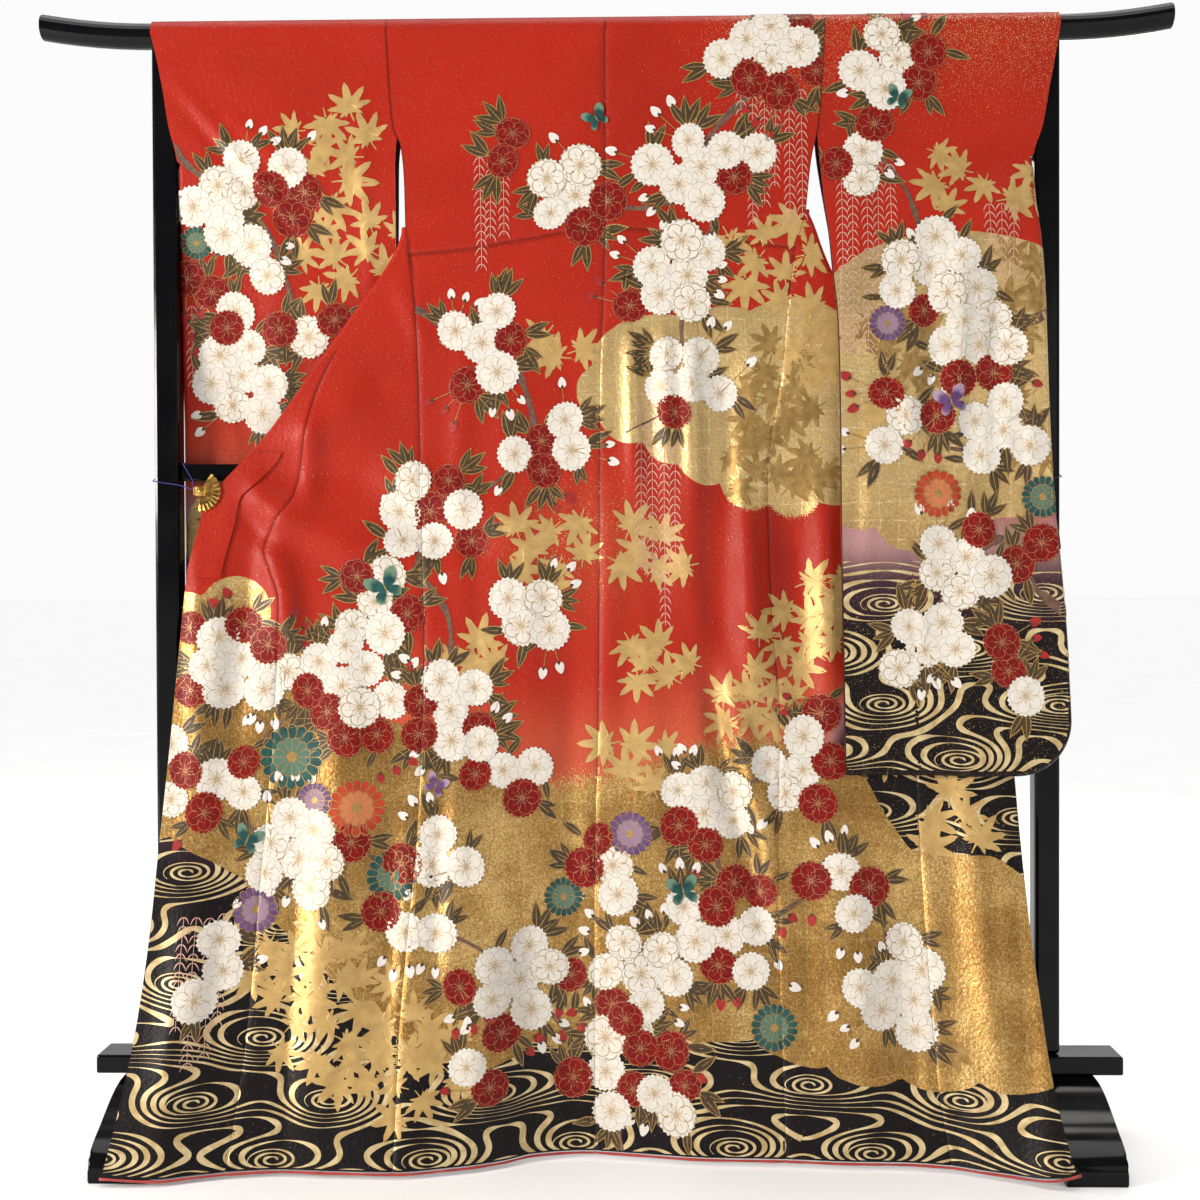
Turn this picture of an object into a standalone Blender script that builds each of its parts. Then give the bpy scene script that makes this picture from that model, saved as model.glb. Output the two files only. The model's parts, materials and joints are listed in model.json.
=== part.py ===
"""A furisode hung over a lacquered kimono stand, its back to the viewer.

Metres, +Z up.  X runs along the stand, the back of the garment faces -Y, and the
floor is at Z = 0.  The stand's posts stand in the plane Y = 0 while the pieces are
drawn; at the end everything moves so that its box is centred on the origin.

Every cloth piece is a wall.  Its middle surface hangs in one of a few layers, each
a depth Y that depends on X and Z, and the layers join in half turns along a fold.
"""
import math
from collections import namedtuple

import bmesh
import bpy
from mathutils import Vector

# The stand
BAR_HEIGHT = 1.600
BAR_RADIUS = 0.0185
BAR_HALF_LENGTH = 0.8144
BAR_TIP_RISE = 0.015
BAR_STRAIGHT_HALF = 0.650
POST_INNER = 0.6155
POST_SIZE = 0.036
RAIL_TOP = 0.980
RAIL_HEIGHT = 0.0245
RAIL_DEPTH = 0.022
SHELF_TOP = 0.126
SHELF_HEIGHT = 0.0266
SHELF_DEPTH = 0.065
SHELF_HALF_LENGTH = 0.738
FOOT_INNER = 0.615
FOOT_OUTER = 0.697
EDGE_ROUNDING = 0.003
SEAT_GAP = 0.0003

FootRow = namedtuple("FootRow", "reach height")
FOOT_OUTLINE = (
    FootRow(0.036, 0.0991),
    FootRow(0.075, 0.0905),
    FootRow(0.112, 0.0755),
    FootRow(0.146, 0.0590),
    FootRow(0.172, 0.0470),
    FootRow(0.188, 0.0350),
    FootRow(0.1960, 0.0190),
    FootRow(0.1960, 0.0000),
)

# The cloth
WALL = 0.002
SEAM_GAP = 0.0003
BAR_WRAP = 0.0205
BODY_HANG = 0.0235
HEM_HEIGHT = 0.010
COLLAR_WIDTH = 0.050
COLLAR_LIFT = WALL + 0.0004
TIP_WIDTH = 0.003
LEAN_START = 0.95
LEAN_POWER = 1.6
FOLD_ROUNDING = 0.005
SLEEVE_ROUNDING = 0.006
SLEEVE_BOTTOM = 0.534
SLEEVE_CORNER = 0.075
REAR_WALL_REACH = 0.6125
COLLAR_END = 0.815
COLLAR_END_TOP = 0.995
CLIP_HEIGHT = 0.940
COLLAR_STOP = CLIP_HEIGHT + 0.020
ROLL_RADIUS = 0.0018
ROLL_SIDES = 6
ROLL_STATIONS = 44

# Under a clip the cloth is pinched flat, within the first distance from its middle
PINCH_INSET = 0.012
PINCH_FLAT = 0.030
PINCH_END = 0.075

# The layer behind the bar: where it comes round to the front, and its gap to that layer
ROUND_FROM = 0.20
ROUND_TO = 0.30
ROUND_BELOW = 1.25
ROUND_ABOVE = 1.35
TURN_GAP_LOW = 0.0042
TURN_GAP_MORE = 0.0075
TURN_GAP_START = 1.00
TURN_GAP_END = 1.22

# Heights that every piece of the body shares, from the bar down to the hem
OKUMI_TOP = 1.390
ARMPIT = {"left": 1.317, "right": 1.338}
OKUMI_TURN = 1.163
CUFF_END = 1.409
SEWN_TO = 1.445
ROWS_ABOVE_CLIP = (1.600, 1.555, 1.500, 1.280, 1.240, 1.200, 1.115, 1.070, 1.030, 0.990, 0.965)
ROWS_BELOW_CLIP = (0.910, 0.880, 0.850, 0.780, 0.740, 0.690, 0.640, 0.580, 0.520, 0.460, 0.400,
                   0.340, 0.280, 0.225, 0.170, 0.120, 0.075, 0.035, 0.0)

BACK_COLUMNS = 6
FRONT_COLUMNS = 5
FRONT_RETURN_COLUMNS = 5
OKUMI_COLUMNS = 3
SLEEVE_COLUMNS = 7
TURN_ANGLES = (-50.0, 0.0, 50.0)
WRAP_ANGLES = (30.0, 60.0, 90.0, 120.0, 150.0, 180.0)

Across = namedtuple("Across", "height reach")
Depth = namedtuple("Depth", "across depth")
Fold = namedtuple("Fold", "x_top z_top x_low z_low width rise")
SleeveWall = namedtuple("SleeveWall", "height front rear")


class Line:
    """A smooth value that passes through the rows of a two-column table."""

    def __init__(self, *rows):
        rows = sorted(rows)
        self.places = [row[0] for row in rows]
        self.values = [row[1] for row in rows]
        count = len(rows)
        rise = [(self.values[i + 1] - self.values[i]) / (self.places[i + 1] - self.places[i])
                for i in range(count - 1)]
        self.slopes = [rise[0]]
        for i in range(1, count - 1):
            same_way = rise[i - 1] * rise[i] > 0
            self.slopes.append(2 * rise[i - 1] * rise[i] / (rise[i - 1] + rise[i]) if same_way else 0.0)
        self.slopes.append(rise[-1])

    def __call__(self, place):
        places, values, slopes = self.places, self.values, self.slopes
        if place <= places[0]:
            return values[0]
        if place >= places[-1]:
            return values[-1]
        i = 0
        while place > places[i + 1]:
            i += 1
        span = places[i + 1] - places[i]
        t = (place - places[i]) / span
        start = values[i] * (1 + 2 * t) * (1 - t) ** 2 + slopes[i] * span * t * (1 - t) ** 2
        end = values[i + 1] * t * t * (3 - 2 * t) + slopes[i + 1] * span * t * t * (t - 1)
        return start + end


# Where the lines of the garment lie, as a distance from the middle of the stand
CENTRE_SEAM = Line(Across(1.60, 0.003), Across(1.315, 0.002), Across(1.07, -0.006),
                   Across(0.67, -0.009), Across(0.32, -0.016), Across(0.0, -0.015))

SIDE_SEAM = {
    "left": Line(Across(1.611, 0.3125), Across(1.46, 0.302), Across(1.436, 0.292),
                 Across(1.392, 0.287), Across(1.317, 0.284), Across(1.204, 0.271),
                 Across(1.069, 0.266), Across(0.85, 0.263), Across(0.703, 0.258),
                 Across(0.496, 0.263), Across(0.282, 0.278), Across(0.176, 0.285), Across(0.0, 0.288)),
    "right": Line(Across(1.61, 0.317), Across(1.465, 0.308), Across(1.409, 0.297),
                  Across(1.338, 0.288), Across(1.277, 0.273), Across(1.204, 0.264),
                  Across(1.109, 0.255), Across(0.946, 0.233), Across(0.749, 0.238),
                  Across(0.618, 0.248), Across(0.389, 0.243), Across(0.0, 0.249)),
}

# The fold of the spread front down to the clip, then its free edge down to the hem
OUTER_LINE = {
    "left": Line(Across(1.317, 0.289), Across(1.284, 0.300), Across(1.189, 0.365),
                 Across(1.113, 0.420), Across(1.028, 0.481), Across(0.952, 0.552),
                 Across(0.93, 0.574), Across(0.888, 0.584), Across(0.815, 0.601),
                 Across(0.704, 0.610), Across(0.56, 0.619), Across(0.43, 0.627),
                 Across(0.326, 0.632), Across(0.206, 0.642), Across(0.11, 0.656), Across(0.0, 0.677)),
    "right": Line(Across(1.338, 0.293), Across(1.314, 0.303), Across(1.28, 0.314),
                  Across(1.247, 0.328), Across(1.14, 0.402), Across(1.04, 0.472),
                  Across(0.952, 0.540), Across(0.93, 0.556), Across(0.888, 0.562),
                  Across(0.70, 0.569), Across(0.533, 0.574), Across(0.36, 0.583),
                  Across(0.228, 0.593), Across(0.15, 0.600), Across(0.055, 0.616), Across(0.0, 0.630)),
}

OKUMI_SEAM = {
    "left": Line(Across(1.163, 0.374), Across(1.07, 0.418), Across(0.978, 0.437),
                 Across(0.932, 0.448), Across(0.891, 0.476), Across(0.855, 0.490),
                 Across(0.825, 0.480), Across(0.784, 0.466), Across(0.667, 0.470),
                 Across(0.498, 0.478), Across(0.34, 0.488), Across(0.186, 0.496), Across(0.0, 0.516)),
    "right": Line(Across(1.163, 0.376), Across(1.07, 0.410), Across(0.978, 0.424),
                  Across(0.85, 0.432), Across(0.67, 0.438), Across(0.497, 0.441),
                  Across(0.34, 0.447), Across(0.115, 0.458), Across(0.0, 0.473)),
}

# Behind the bar: the front's free edge, which carries the collar, and the okumi seam
COLLAR_EDGE = {
    "left": Line(Across(1.60, 0.040), Across(1.50, 0.032), Across(1.42, 0.042),
                 Across(1.31, 0.092), Across(1.19, 0.195), Across(1.09, 0.325),
                 Across(1.00, 0.458), Across(0.94, 0.553)),
    "right": Line(Across(1.60, 0.040), Across(1.50, 0.032), Across(1.42, 0.042),
                  Across(1.31, 0.095), Across(1.19, 0.190), Across(1.09, 0.310),
                  Across(1.00, 0.440), Across(0.94, 0.535)),
}

# How far in front of the posts the hem stands
HEM_LINE = Line(
    Depth(-0.70, 0.212), Depth(-0.60, 0.210), Depth(-0.56, 0.196), Depth(-0.50, 0.178),
    Depth(-0.44, 0.170), Depth(-0.37, 0.176), Depth(-0.28, 0.180), Depth(-0.21, 0.164),
    Depth(-0.143, 0.136), Depth(-0.10, 0.106), Depth(-0.03, 0.092), Depth(0.03, 0.101),
    Depth(0.138, 0.121), Depth(0.244, 0.126), Depth(0.336, 0.135), Depth(0.406, 0.137),
    Depth(0.474, 0.150), Depth(0.505, 0.165), Depth(0.557, 0.188), Depth(0.60, 0.213),
    Depth(0.66, 0.222))

HEM_LIFT = Line(Depth(-0.68, 0.004), Depth(-0.60, 0.0), Depth(-0.30, 0.0), Depth(-0.22, 0.001),
                Depth(0.40, 0.001), Depth(0.56, 0.001), Depth(0.60, 0.006), Depth(0.635, 0.016))

# The largest folds: soft ridges (rise > 0) and troughs (rise < 0) along a slanting line
BODY_FOLDS = (
    Fold(0.120, 1.080, 0.140, 0.420, 0.030, 0.0090),
    Fold(0.190, 1.100, 0.200, 0.560, 0.026, 0.0070),
    Fold(0.155, 0.900, 0.165, 0.450, 0.020, -0.0050),
    Fold(0.070, 0.800, 0.060, 0.300, 0.028, 0.0060),
    Fold(-0.048, 0.740, -0.056, 0.300, 0.020, -0.0060),
    Fold(-0.150, 1.150, -0.130, 0.620, 0.045, 0.0050),
    Fold(-0.330, 1.080, -0.475, 1.000, 0.030, 0.0090),
    Fold(-0.300, 0.960, -0.520, 0.960, 0.024, -0.0050),
    Fold(-0.310, 0.830, -0.500, 0.925, 0.030, 0.0080),
    Fold(-0.480, 0.900, -0.455, 0.700, 0.022, 0.0120),
    Fold(-0.510, 0.890, -0.530, 0.560, 0.020, -0.0070),
    Fold(-0.560, 0.860, -0.575, 0.420, 0.022, 0.0090),
    Fold(-0.360, 0.720, -0.395, 0.060, 0.040, 0.0130),
    Fold(-0.300, 0.520, -0.320, 0.050, 0.030, -0.0070),
    Fold(-0.560, 0.400, -0.600, 0.060, 0.030, 0.0100),
    Fold(-0.165, 0.560, -0.175, 0.030, 0.035, 0.0100),
    Fold(0.020, 0.420, 0.035, 0.030, 0.030, 0.0060),
    Fold(0.330, 0.560, 0.350, 0.040, 0.038, 0.0110),
    Fold(0.420, 0.480, 0.425, 0.060, 0.028, -0.0070),
    Fold(0.510, 0.700, 0.540, 0.060, 0.032, 0.0110),
    Fold(0.420, 0.900, 0.520, 0.940, 0.028, 0.0080),
)

SLEEVE_FOLDS = {
    "left": (
        Fold(-0.600, 1.470, -0.420, 1.180, 0.030, 0.0050),
        Fold(-0.540, 1.300, -0.520, 0.760, 0.034, -0.0045),
        Fold(-0.400, 1.200, -0.410, 0.640, 0.030, 0.0040),
    ),
    "right": (
        Fold(0.620, 1.420, 0.430, 1.130, 0.030, 0.0070),
        Fold(0.600, 1.280, 0.480, 0.860, 0.032, -0.0050),
        Fold(0.420, 1.300, 0.400, 0.720, 0.030, 0.0060),
        Fold(0.540, 1.000, 0.530, 0.620, 0.036, 0.0070),
    ),
}

# Free inner edge of the sleeves, below the stretch that is sewn to the body
SLEEVE_INNER = {
    "left": Line(Across(1.445, 0.2965), Across(1.413, 0.299), Across(1.332, 0.300),
                 Across(1.1, 0.306), Across(0.53, 0.308)),
    "right": Line(Across(1.445, 0.3055), Across(1.402, 0.309), Across(1.347, 0.314),
                  Across(1.302, 0.320), Across(1.247, 0.325), Across(1.177, 0.332),
                  Across(1.063, 0.335), Across(0.53, 0.338)),
}

SLEEVE_OUTER = {
    "left": Line(Across(1.62, 0.657), Across(1.577, 0.646), Across(1.523, 0.635),
                 Across(1.466, 0.626), Across(1.42, 0.6150), Across(1.409, 0.6138),
                 Across(1.07, 0.6140), Across(0.94, 0.6140), Across(0.88, 0.6165),
                 Across(0.53, 0.6165)),
    "right": Line(Across(1.604, 0.652), Across(1.561, 0.645), Across(1.512, 0.636),
                  Across(1.456, 0.626), Across(1.409, 0.6125), Across(1.35, 0.6130),
                  Across(1.30, 0.619), Across(1.229, 0.624), Across(1.062, 0.630),
                  Across(0.918, 0.637), Across(0.846, 0.644), Across(0.701, 0.651), Across(0.53, 0.652)),
}

# Depth of each sleeve's two walls.  The left one hangs behind the middle rail.  The right
# one comes forward below the cuff and then hangs on the body, in front of rail and post.
LEFT_SLEEVE_WALLS = (
    SleeveWall(1.600, -0.0205, 0.0205),
    SleeveWall(1.415, -0.0205, 0.0205),
    SleeveWall(1.290, -0.0045, 0.0235),
    SleeveWall(1.150, 0.0070, 0.0265),
    SleeveWall(1.020, 0.0180, 0.0320),
    SleeveWall(0.530, 0.0180, 0.0320),
)
RIGHT_SLEEVE_WALLS = (
    SleeveWall(1.600, -0.0205, 0.0205),
    SleeveWall(1.440, -0.0205, 0.0205),
    SleeveWall(1.335, -0.0400, -0.0215),
    SleeveWall(1.280, -0.0450, -0.0310),
    SleeveWall(1.150, -0.0490, -0.0340),
    SleeveWall(0.530, -0.0490, -0.0340),
)

# The fan-shaped clip and the thread that ties it to the post
CLIP_PIVOT = {"left": 0.5810, "right": 0.5630}
FAN_RIBS = 11
FAN_RADIUS = 0.030
FAN_HUB = 0.0075
FAN_START = math.radians(-97)
FAN_END = math.radians(58)
FAN_THICKNESS = 0.0025
FAN_EDGE_SHARE = 0.945
CLIP_FRONT = -0.0290
CLIP_REAR = -0.0164
JAW_THICKNESS = 0.0020
BRIDGE_NEAR = 0.0045
BRIDGE_FAR = 0.0105
BRIDGE_HALF = 0.006
JAW_REACH = 0.016
JAW_HALF = 0.007
THREAD_RADIUS = 0.0008
THREAD_CLEAR = THREAD_RADIUS + 0.0005
THREAD_BOW = 0.0004
THREAD_RISE = 0.006

SIGN = {"left": -1.0, "right": 1.0}


def ease(low, high, value):
    """0 below low, 1 above high, and a smooth step between."""
    t = min(1.0, max(0.0, (value - low) / (high - low)))
    return t * t * (3 - 2 * t)


def fold_height(folds, x, z):
    """How far a list of folds lifts the cloth towards the viewer at one place."""
    total = 0.0
    for fold in folds:
        run_x = fold.x_low - fold.x_top
        run_z = fold.z_low - fold.z_top
        length = math.hypot(run_x, run_z)
        along = ((x - fold.x_top) * run_x + (z - fold.z_top) * run_z) / length
        off = ((x - fold.x_top) * run_z - (z - fold.z_top) * run_x) / length
        taper = ease(-0.10 * length, 0.35 * length, along)
        taper *= ease(-0.10 * length, 0.35 * length, length - along)
        total += fold.rise * taper * math.exp(-(off / fold.width) ** 2)
    return total


def near_clip(x, z):
    """1 away from the two clips, 0 under them, where the cloth is pinched flat."""
    side = "left" if x < 0 else "right"
    distance = math.hypot(abs(x) - CLIP_PIVOT[side] + PINCH_INSET, z - CLIP_HEIGHT)
    return ease(PINCH_FLAT, PINCH_END, distance)


def body_depth(x, z):
    """Depth of the layer that faces the viewer: backs, spread fronts and okumi."""
    hang = BAR_WRAP + (BODY_HANG - BAR_WRAP) * ease(1.42, 1.30, z)
    lean = max(0.0, (LEAN_START - z) / LEAN_START) ** LEAN_POWER
    foot_clearance = hang + (HEM_LINE(x) - hang) * lean
    calm = ease(1.36, 1.16, z) * near_clip(x, z)
    return -foot_clearance - calm * fold_height(BODY_FOLDS, x, z)


def rear_depth(x, z):
    """Depth of the layer behind the bar: it comes round in front of the rail to the clip."""
    round_side = ease(ROUND_FROM, ROUND_TO, abs(x)) * ease(ROUND_ABOVE, ROUND_BELOW, z)
    turn_gap = TURN_GAP_LOW + TURN_GAP_MORE * ease(TURN_GAP_START, TURN_GAP_END, z)
    return BAR_WRAP * (1 - round_side) + (body_depth(x, z) + turn_gap) * round_side


def sleeve_depth(side, wall, x, z):
    """Depth of a sleeve's front or rear wall."""
    rows = LEFT_SLEEVE_WALLS if side == "left" else RIGHT_SLEEVE_WALLS
    depth = SLEEVE_WALL_LINES[side][wall](z)
    if side == "right":
        depth += (body_depth(x, z) + BODY_HANG) * ease(rows[1].height, rows[3].height, z)
    share = ease(1.45, 1.25, z) * ease(SLEEVE_BOTTOM, SLEEVE_BOTTOM + 0.08, z)
    if side == "left":
        share *= ease(0.0, 0.06, abs(z - RAIL_TOP + RAIL_HEIGHT / 2))
    return depth - share * fold_height(SLEEVE_FOLDS[side], x, z)


SLEEVE_WALL_LINES = {
    side: {
        "front": Line(*[(row.height, row.front) for row in rows]),
        "rear": Line(*[(row.height, row.rear) for row in rows]),
    }
    for side, rows in (("left", LEFT_SLEEVE_WALLS), ("right", RIGHT_SLEEVE_WALLS))
}


def facing(depth, x, z, towards):
    """Unit vector square to a layer; towards is -1 for the viewer's side and 1 for behind."""
    step = 0.002
    slope_x = (depth(x + step, z) - depth(x - step, z)) / (2 * step)
    slope_z = (depth(x, z + step) - depth(x, z - step)) / (2 * step)
    return Vector((-slope_x, 1.0, -slope_z)).normalized() * towards


class Cloth:
    """The middle surface of a piece, gathered cell by cell and then given its wall."""

    def __init__(self):
        self.points = []
        self.outward = []
        self.cells = []

    def add(self, point, outward):
        self.points.append(Vector(point))
        self.outward.append(Vector(outward))
        return len(self.points) - 1

    def lay(self, depth, x, z, towards):
        return self.add((x, depth(x, z), z), facing(depth, x, z, towards))

    def weave(self, rows):
        """Fill the cells between neighbouring rows of point numbers."""
        for upper, lower in zip(rows, rows[1:]):
            for i in range(len(upper) - 1):
                self.cells.append((upper[i], upper[i + 1], lower[i + 1], lower[i]))

    def turn(self, front, rear, outward):
        """Points of the half turn that joins a front point to a rear one."""
        start, end = self.points[front], self.points[rear]
        middle = (start + end) / 2
        half = (end - start).length / 2
        width = min(FOLD_ROUNDING, half)
        numbers = [front]
        for degrees in TURN_ANGLES:
            angle = math.radians(degrees)
            place = middle + outward * width * math.cos(angle) + (end - start) / 2 * math.sin(angle)
            square = outward * (math.cos(angle) / width)
            square += (end - start).normalized() * (math.sin(angle) / half)
            numbers.append(self.add(place, square.normalized()))
        numbers.append(rear)
        return numbers

    def wrap(self, front_row):
        """Rows of points that carry a row at bar height over the bar to its rear side."""
        rows = [front_row]
        for degrees in WRAP_ANGLES:
            angle = math.radians(degrees)
            square = Vector((0, -math.cos(angle), math.sin(angle)))
            centre = Vector((0, 0, BAR_HEIGHT))
            rows.append([self.add(Vector((self.points[n].x, 0, 0)) + centre + square * BAR_WRAP, square)
                         for n in front_row])
        return rows

    def solid(self, name, paint, lift=0.0):
        """One closed wall about the middle surface, moved outwards by lift."""
        outer = [p + n * (lift + WALL / 2) for p, n in zip(self.points, self.outward)]
        inner = [p + n * (lift - WALL / 2) for p, n in zip(self.points, self.outward)]
        count = len(self.points)
        faces = []
        edges = {}
        for cell in self.cells:
            corners = [self.points[n] for n in cell]
            normal = (corners[2] - corners[0]).cross(corners[3] - corners[1])
            expected = sum((self.outward[n] for n in cell), Vector())
            ring = cell if normal.dot(expected) > 0 else tuple(reversed(cell))
            halves = ((ring[0], ring[1], ring[2]), (ring[0], ring[2], ring[3]))
            for half in halves:
                faces.append(half)
                faces.append(tuple(n + count for n in reversed(half)))
            for a, b in zip(ring, ring[1:] + ring[:1]):
                edges[(a, b)] = True
        for a, b in edges:
            if (b, a) not in edges:
                faces.append((b, a, a + count))
                faces.append((b, a + count, b + count))
        return make_object(name, outer + inner, faces, paint)


def make_object(name, points, faces, paint):
    mesh = bpy.data.meshes.new(name)
    mesh.from_pydata([tuple(p) for p in points], [], faces)
    used = bmesh.new()
    used.from_mesh(mesh)
    loose = [v for v in used.verts if not v.link_faces]
    bmesh.ops.delete(used, geom=loose, context="VERTS")
    bmesh.ops.recalc_face_normals(used, faces=used.faces)
    used.to_mesh(mesh)
    used.free()
    mesh.shade_smooth()
    mesh.set_sharp_from_angle(angle=math.radians(50))
    thing = bpy.data.objects.new(name, mesh)
    bpy.context.scene.collection.objects.link(thing)
    mesh.materials.append(paint)
    return thing


def paint(name, colour, roughness, metallic=0.0):
    material = bpy.data.materials.new(name)
    material.use_nodes = True
    shader = material.node_tree.nodes["Principled BSDF"]
    shader.inputs["Base Color"].default_value = (*colour, 1.0)
    shader.inputs["Roughness"].default_value = roughness
    shader.inputs["Metallic"].default_value = metallic
    return material


def spaced(start, end, count):
    return [start + (end - start) * i / count for i in range(count + 1)]


def hem_height(x):
    return HEM_HEIGHT + HEM_LIFT(x)


def body_rows():
    """All heights of the body's rows, the two of a cut just a seam's gap apart."""
    half = SEAM_GAP / 2
    marks = [OKUMI_TOP + half, OKUMI_TOP - half, ARMPIT["left"], ARMPIT["right"],
             OKUMI_TURN + half, OKUMI_TURN - half, CLIP_HEIGHT, COLLAR_END, CUFF_END, SEWN_TO]
    return sorted(ROWS_ABOVE_CLIP + ROWS_BELOW_CLIP + tuple(marks), reverse=True)


def height_at(row, x):
    return row if row > 0 else hem_height(x)


def fold_inset(x, z):
    """How far the flat layers stop short of a fold, to leave room for its half turn."""
    return min(FOLD_ROUNDING, (rear_depth(x, z) - body_depth(x, z)) / 2)


def outer_reach(side, z):
    """Reach of the flat layer at the fold, or of the free edge below the clip."""
    reach = OUTER_LINE[side](z)
    if z >= CLIP_HEIGHT:
        reach -= fold_inset(SIGN[side] * reach, z)
    return reach


def collar_reaches(side, z):
    """Reach of the collar's sewn side, middle and free edge behind the bar."""
    edge = COLLAR_EDGE[side](z)
    room = outer_reach(side, z) - edge if z < ARMPIT[side] else COLLAR_WIDTH * 2
    width = min(COLLAR_WIDTH, max(TIP_WIDTH, 0.8 * room))
    return [edge + width, edge + width / 2, edge]


def rear_okumi_reach(side, z):
    """Reach of the okumi seam behind the bar, from the collar down to the fold."""
    top = collar_reaches(side, OKUMI_TOP)[0] + TIP_WIDTH
    low = outer_reach(side, OKUMI_TURN) - TIP_WIDTH
    t = (OKUMI_TOP - z) / (OKUMI_TOP - OKUMI_TURN)
    return top + (low - top) * t ** 0.9


def front_okumi_reach(side, z):
    return min(OKUMI_SEAM[side](z), outer_reach(side, z) - TIP_WIDTH)


def lay_row(cloth, depth, side, row, reaches, towards):
    sign = SIGN[side]
    return [cloth.lay(depth, sign * reach, height_at(row, sign * reach), towards) for reach in reaches]


def back_panel(side, silk):
    """Back body length, from the hem up and over the bar."""
    sign = SIGN[side]
    cloth = Cloth()
    rows = []
    for row in body_rows():
        start = CENTRE_SEAM(row) + sign * SEAM_GAP / 2
        end = sign * (SIDE_SEAM[side](row) - SEAM_GAP / 2)
        rows.append([cloth.lay(body_depth, x, height_at(row, x), -1.0)
                     for x in spaced(start, end, BACK_COLUMNS)])
    cloth.weave(rows)
    cloth.weave(cloth.wrap(rows[0]))
    return cloth.solid(f"back_{side}", silk)


def front_panel(side, silk):
    """Front body length: behind the bar at the top, round the fold, then spread in front."""
    cloth = Cloth()
    half = SEAM_GAP / 2
    sign = SIGN[side]
    in_front, behind, under_collar, turns = [], [], [], []
    for row in body_rows():
        if row > OKUMI_TURN:
            z = row - SEAM_GAP if row == BAR_HEIGHT else row
            outer = outer_reach(side, z) if z <= ARMPIT[side] else SIDE_SEAM[side](z) - half
            collar = collar_reaches(side, z)
            inner = collar[0] if z > OKUMI_TOP else rear_okumi_reach(side, z) + half
            reaches = spaced(outer, inner, FRONT_RETURN_COLUMNS)
            behind.append(lay_row(cloth, rear_depth, side, z, reaches, 1.0))
            if z > OKUMI_TOP:
                under_collar.append([behind[-1][-1]] + lay_row(cloth, rear_depth, side, z, collar[1:], 1.0))
        if row <= ARMPIT[side]:
            start = SIDE_SEAM[side](row) + half
            end = outer_reach(side, row) if row > OKUMI_TURN else front_okumi_reach(side, row) - half
            end = max(end, start + TIP_WIDTH)
            in_front.append(lay_row(cloth, body_depth, side, row, spaced(start, end, FRONT_COLUMNS), -1.0))
            if row > OKUMI_TURN:
                turns.append(cloth.turn(in_front[-1][-1], behind[-1][0], Vector((sign, 0, 0))))
    for rows in (in_front, behind, under_collar, turns):
        cloth.weave(rows)
    return cloth.solid(f"front_{side}", silk)


def okumi_panel(side, silk):
    """Overlap panel: a point behind the bar, round the fold, then down to the hem."""
    cloth = Cloth()
    half = SEAM_GAP / 2
    sign = SIGN[side]
    in_front, behind, turns = [], [], []
    for row in body_rows():
        if CLIP_HEIGHT <= row < OKUMI_TOP:
            outer = rear_okumi_reach(side, row) - half if row > OKUMI_TURN else outer_reach(side, row)
            collar = collar_reaches(side, row)
            reaches = spaced(outer, collar[0], OKUMI_COLUMNS) + collar[1:]
            behind.append(lay_row(cloth, rear_depth, side, row, reaches, 1.0))
        if row < OKUMI_TURN:
            start = front_okumi_reach(side, row) + half
            end = outer_reach(side, row)
            strip = min(COLLAR_WIDTH, 0.6 * (end - start))
            reaches = spaced(start, end - strip, OKUMI_COLUMNS) + [end - strip / 2, end]
            in_front.append(lay_row(cloth, body_depth, side, row, reaches, -1.0))
            if row >= CLIP_HEIGHT:
                turns.append(cloth.turn(in_front[-1][-1], behind[-1][0], Vector((sign, 0, 0))))
    for rows in (in_front, behind, turns):
        cloth.weave(rows)
    return cloth.solid(f"okumi_{side}", silk)


def collar(silk):
    """Collar band behind the bar, down both free edges to the clips."""
    cloth = Cloth()
    columns = {"left": [], "right": []}
    for row in body_rows():
        if row <= COLLAR_STOP:
            break
        z = row - SEAM_GAP if row == BAR_HEIGHT else row
        for side in ("left", "right"):
            columns[side].append(lay_row(cloth, rear_depth, side, z, collar_reaches(side, z), 1.0))
    for side in ("left", "right"):
        cloth.weave(columns[side])
    neck = []
    for upper in (0, 1):
        left, right = columns["left"][upper], columns["right"][upper]
        z = cloth.points[left[-1]].z
        between = spaced(cloth.points[left[-1]].x, cloth.points[right[-1]].x, 3)[1:-1]
        neck.append([left[-1]] + [cloth.lay(rear_depth, x, z, 1.0) for x in between] + [right[-1]])
    cloth.weave(neck)
    return cloth.solid("collar", silk, lift=COLLAR_LIFT)


def collar_end(side, silk):
    """Lower end of the collar, on the spread front from above the clip down to its end."""
    cloth = Cloth()
    rows = []
    for row in body_rows():
        if COLLAR_END <= row < COLLAR_END_TOP:
            start = front_okumi_reach(side, row) + SEAM_GAP / 2
            end = outer_reach(side, row)
            strip = min(COLLAR_WIDTH, 0.6 * (end - start))
            rows.append(lay_row(cloth, body_depth, side, row, [end - strip, end - strip / 2, end], -1.0))
    cloth.weave(rows)
    return cloth.solid(f"collar_end_{side}", silk, lift=COLLAR_LIFT)


def sleeve_rows():
    """Heights of the sleeve's rows, closer together round its lower corner."""
    low = SLEEVE_BOTTOM + SLEEVE_ROUNDING
    arc = [low + SLEEVE_CORNER * (1 - math.cos(math.radians(a))) for a in (78, 60, 42, 24)]
    plain = [row for row in body_rows() if row > low + SLEEVE_CORNER + 0.01]
    plain = [row for i, row in enumerate(plain) if i == 0 or plain[i - 1] - row > 0.004]
    return plain + arc + [low]


def sleeve_inner_reach(side, z):
    if z >= SEWN_TO:
        return SIDE_SEAM[side](z) + SEAM_GAP / 2
    return max(SLEEVE_INNER[side](z), SIDE_SEAM[side](z) + SEAM_GAP / 2)


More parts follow.
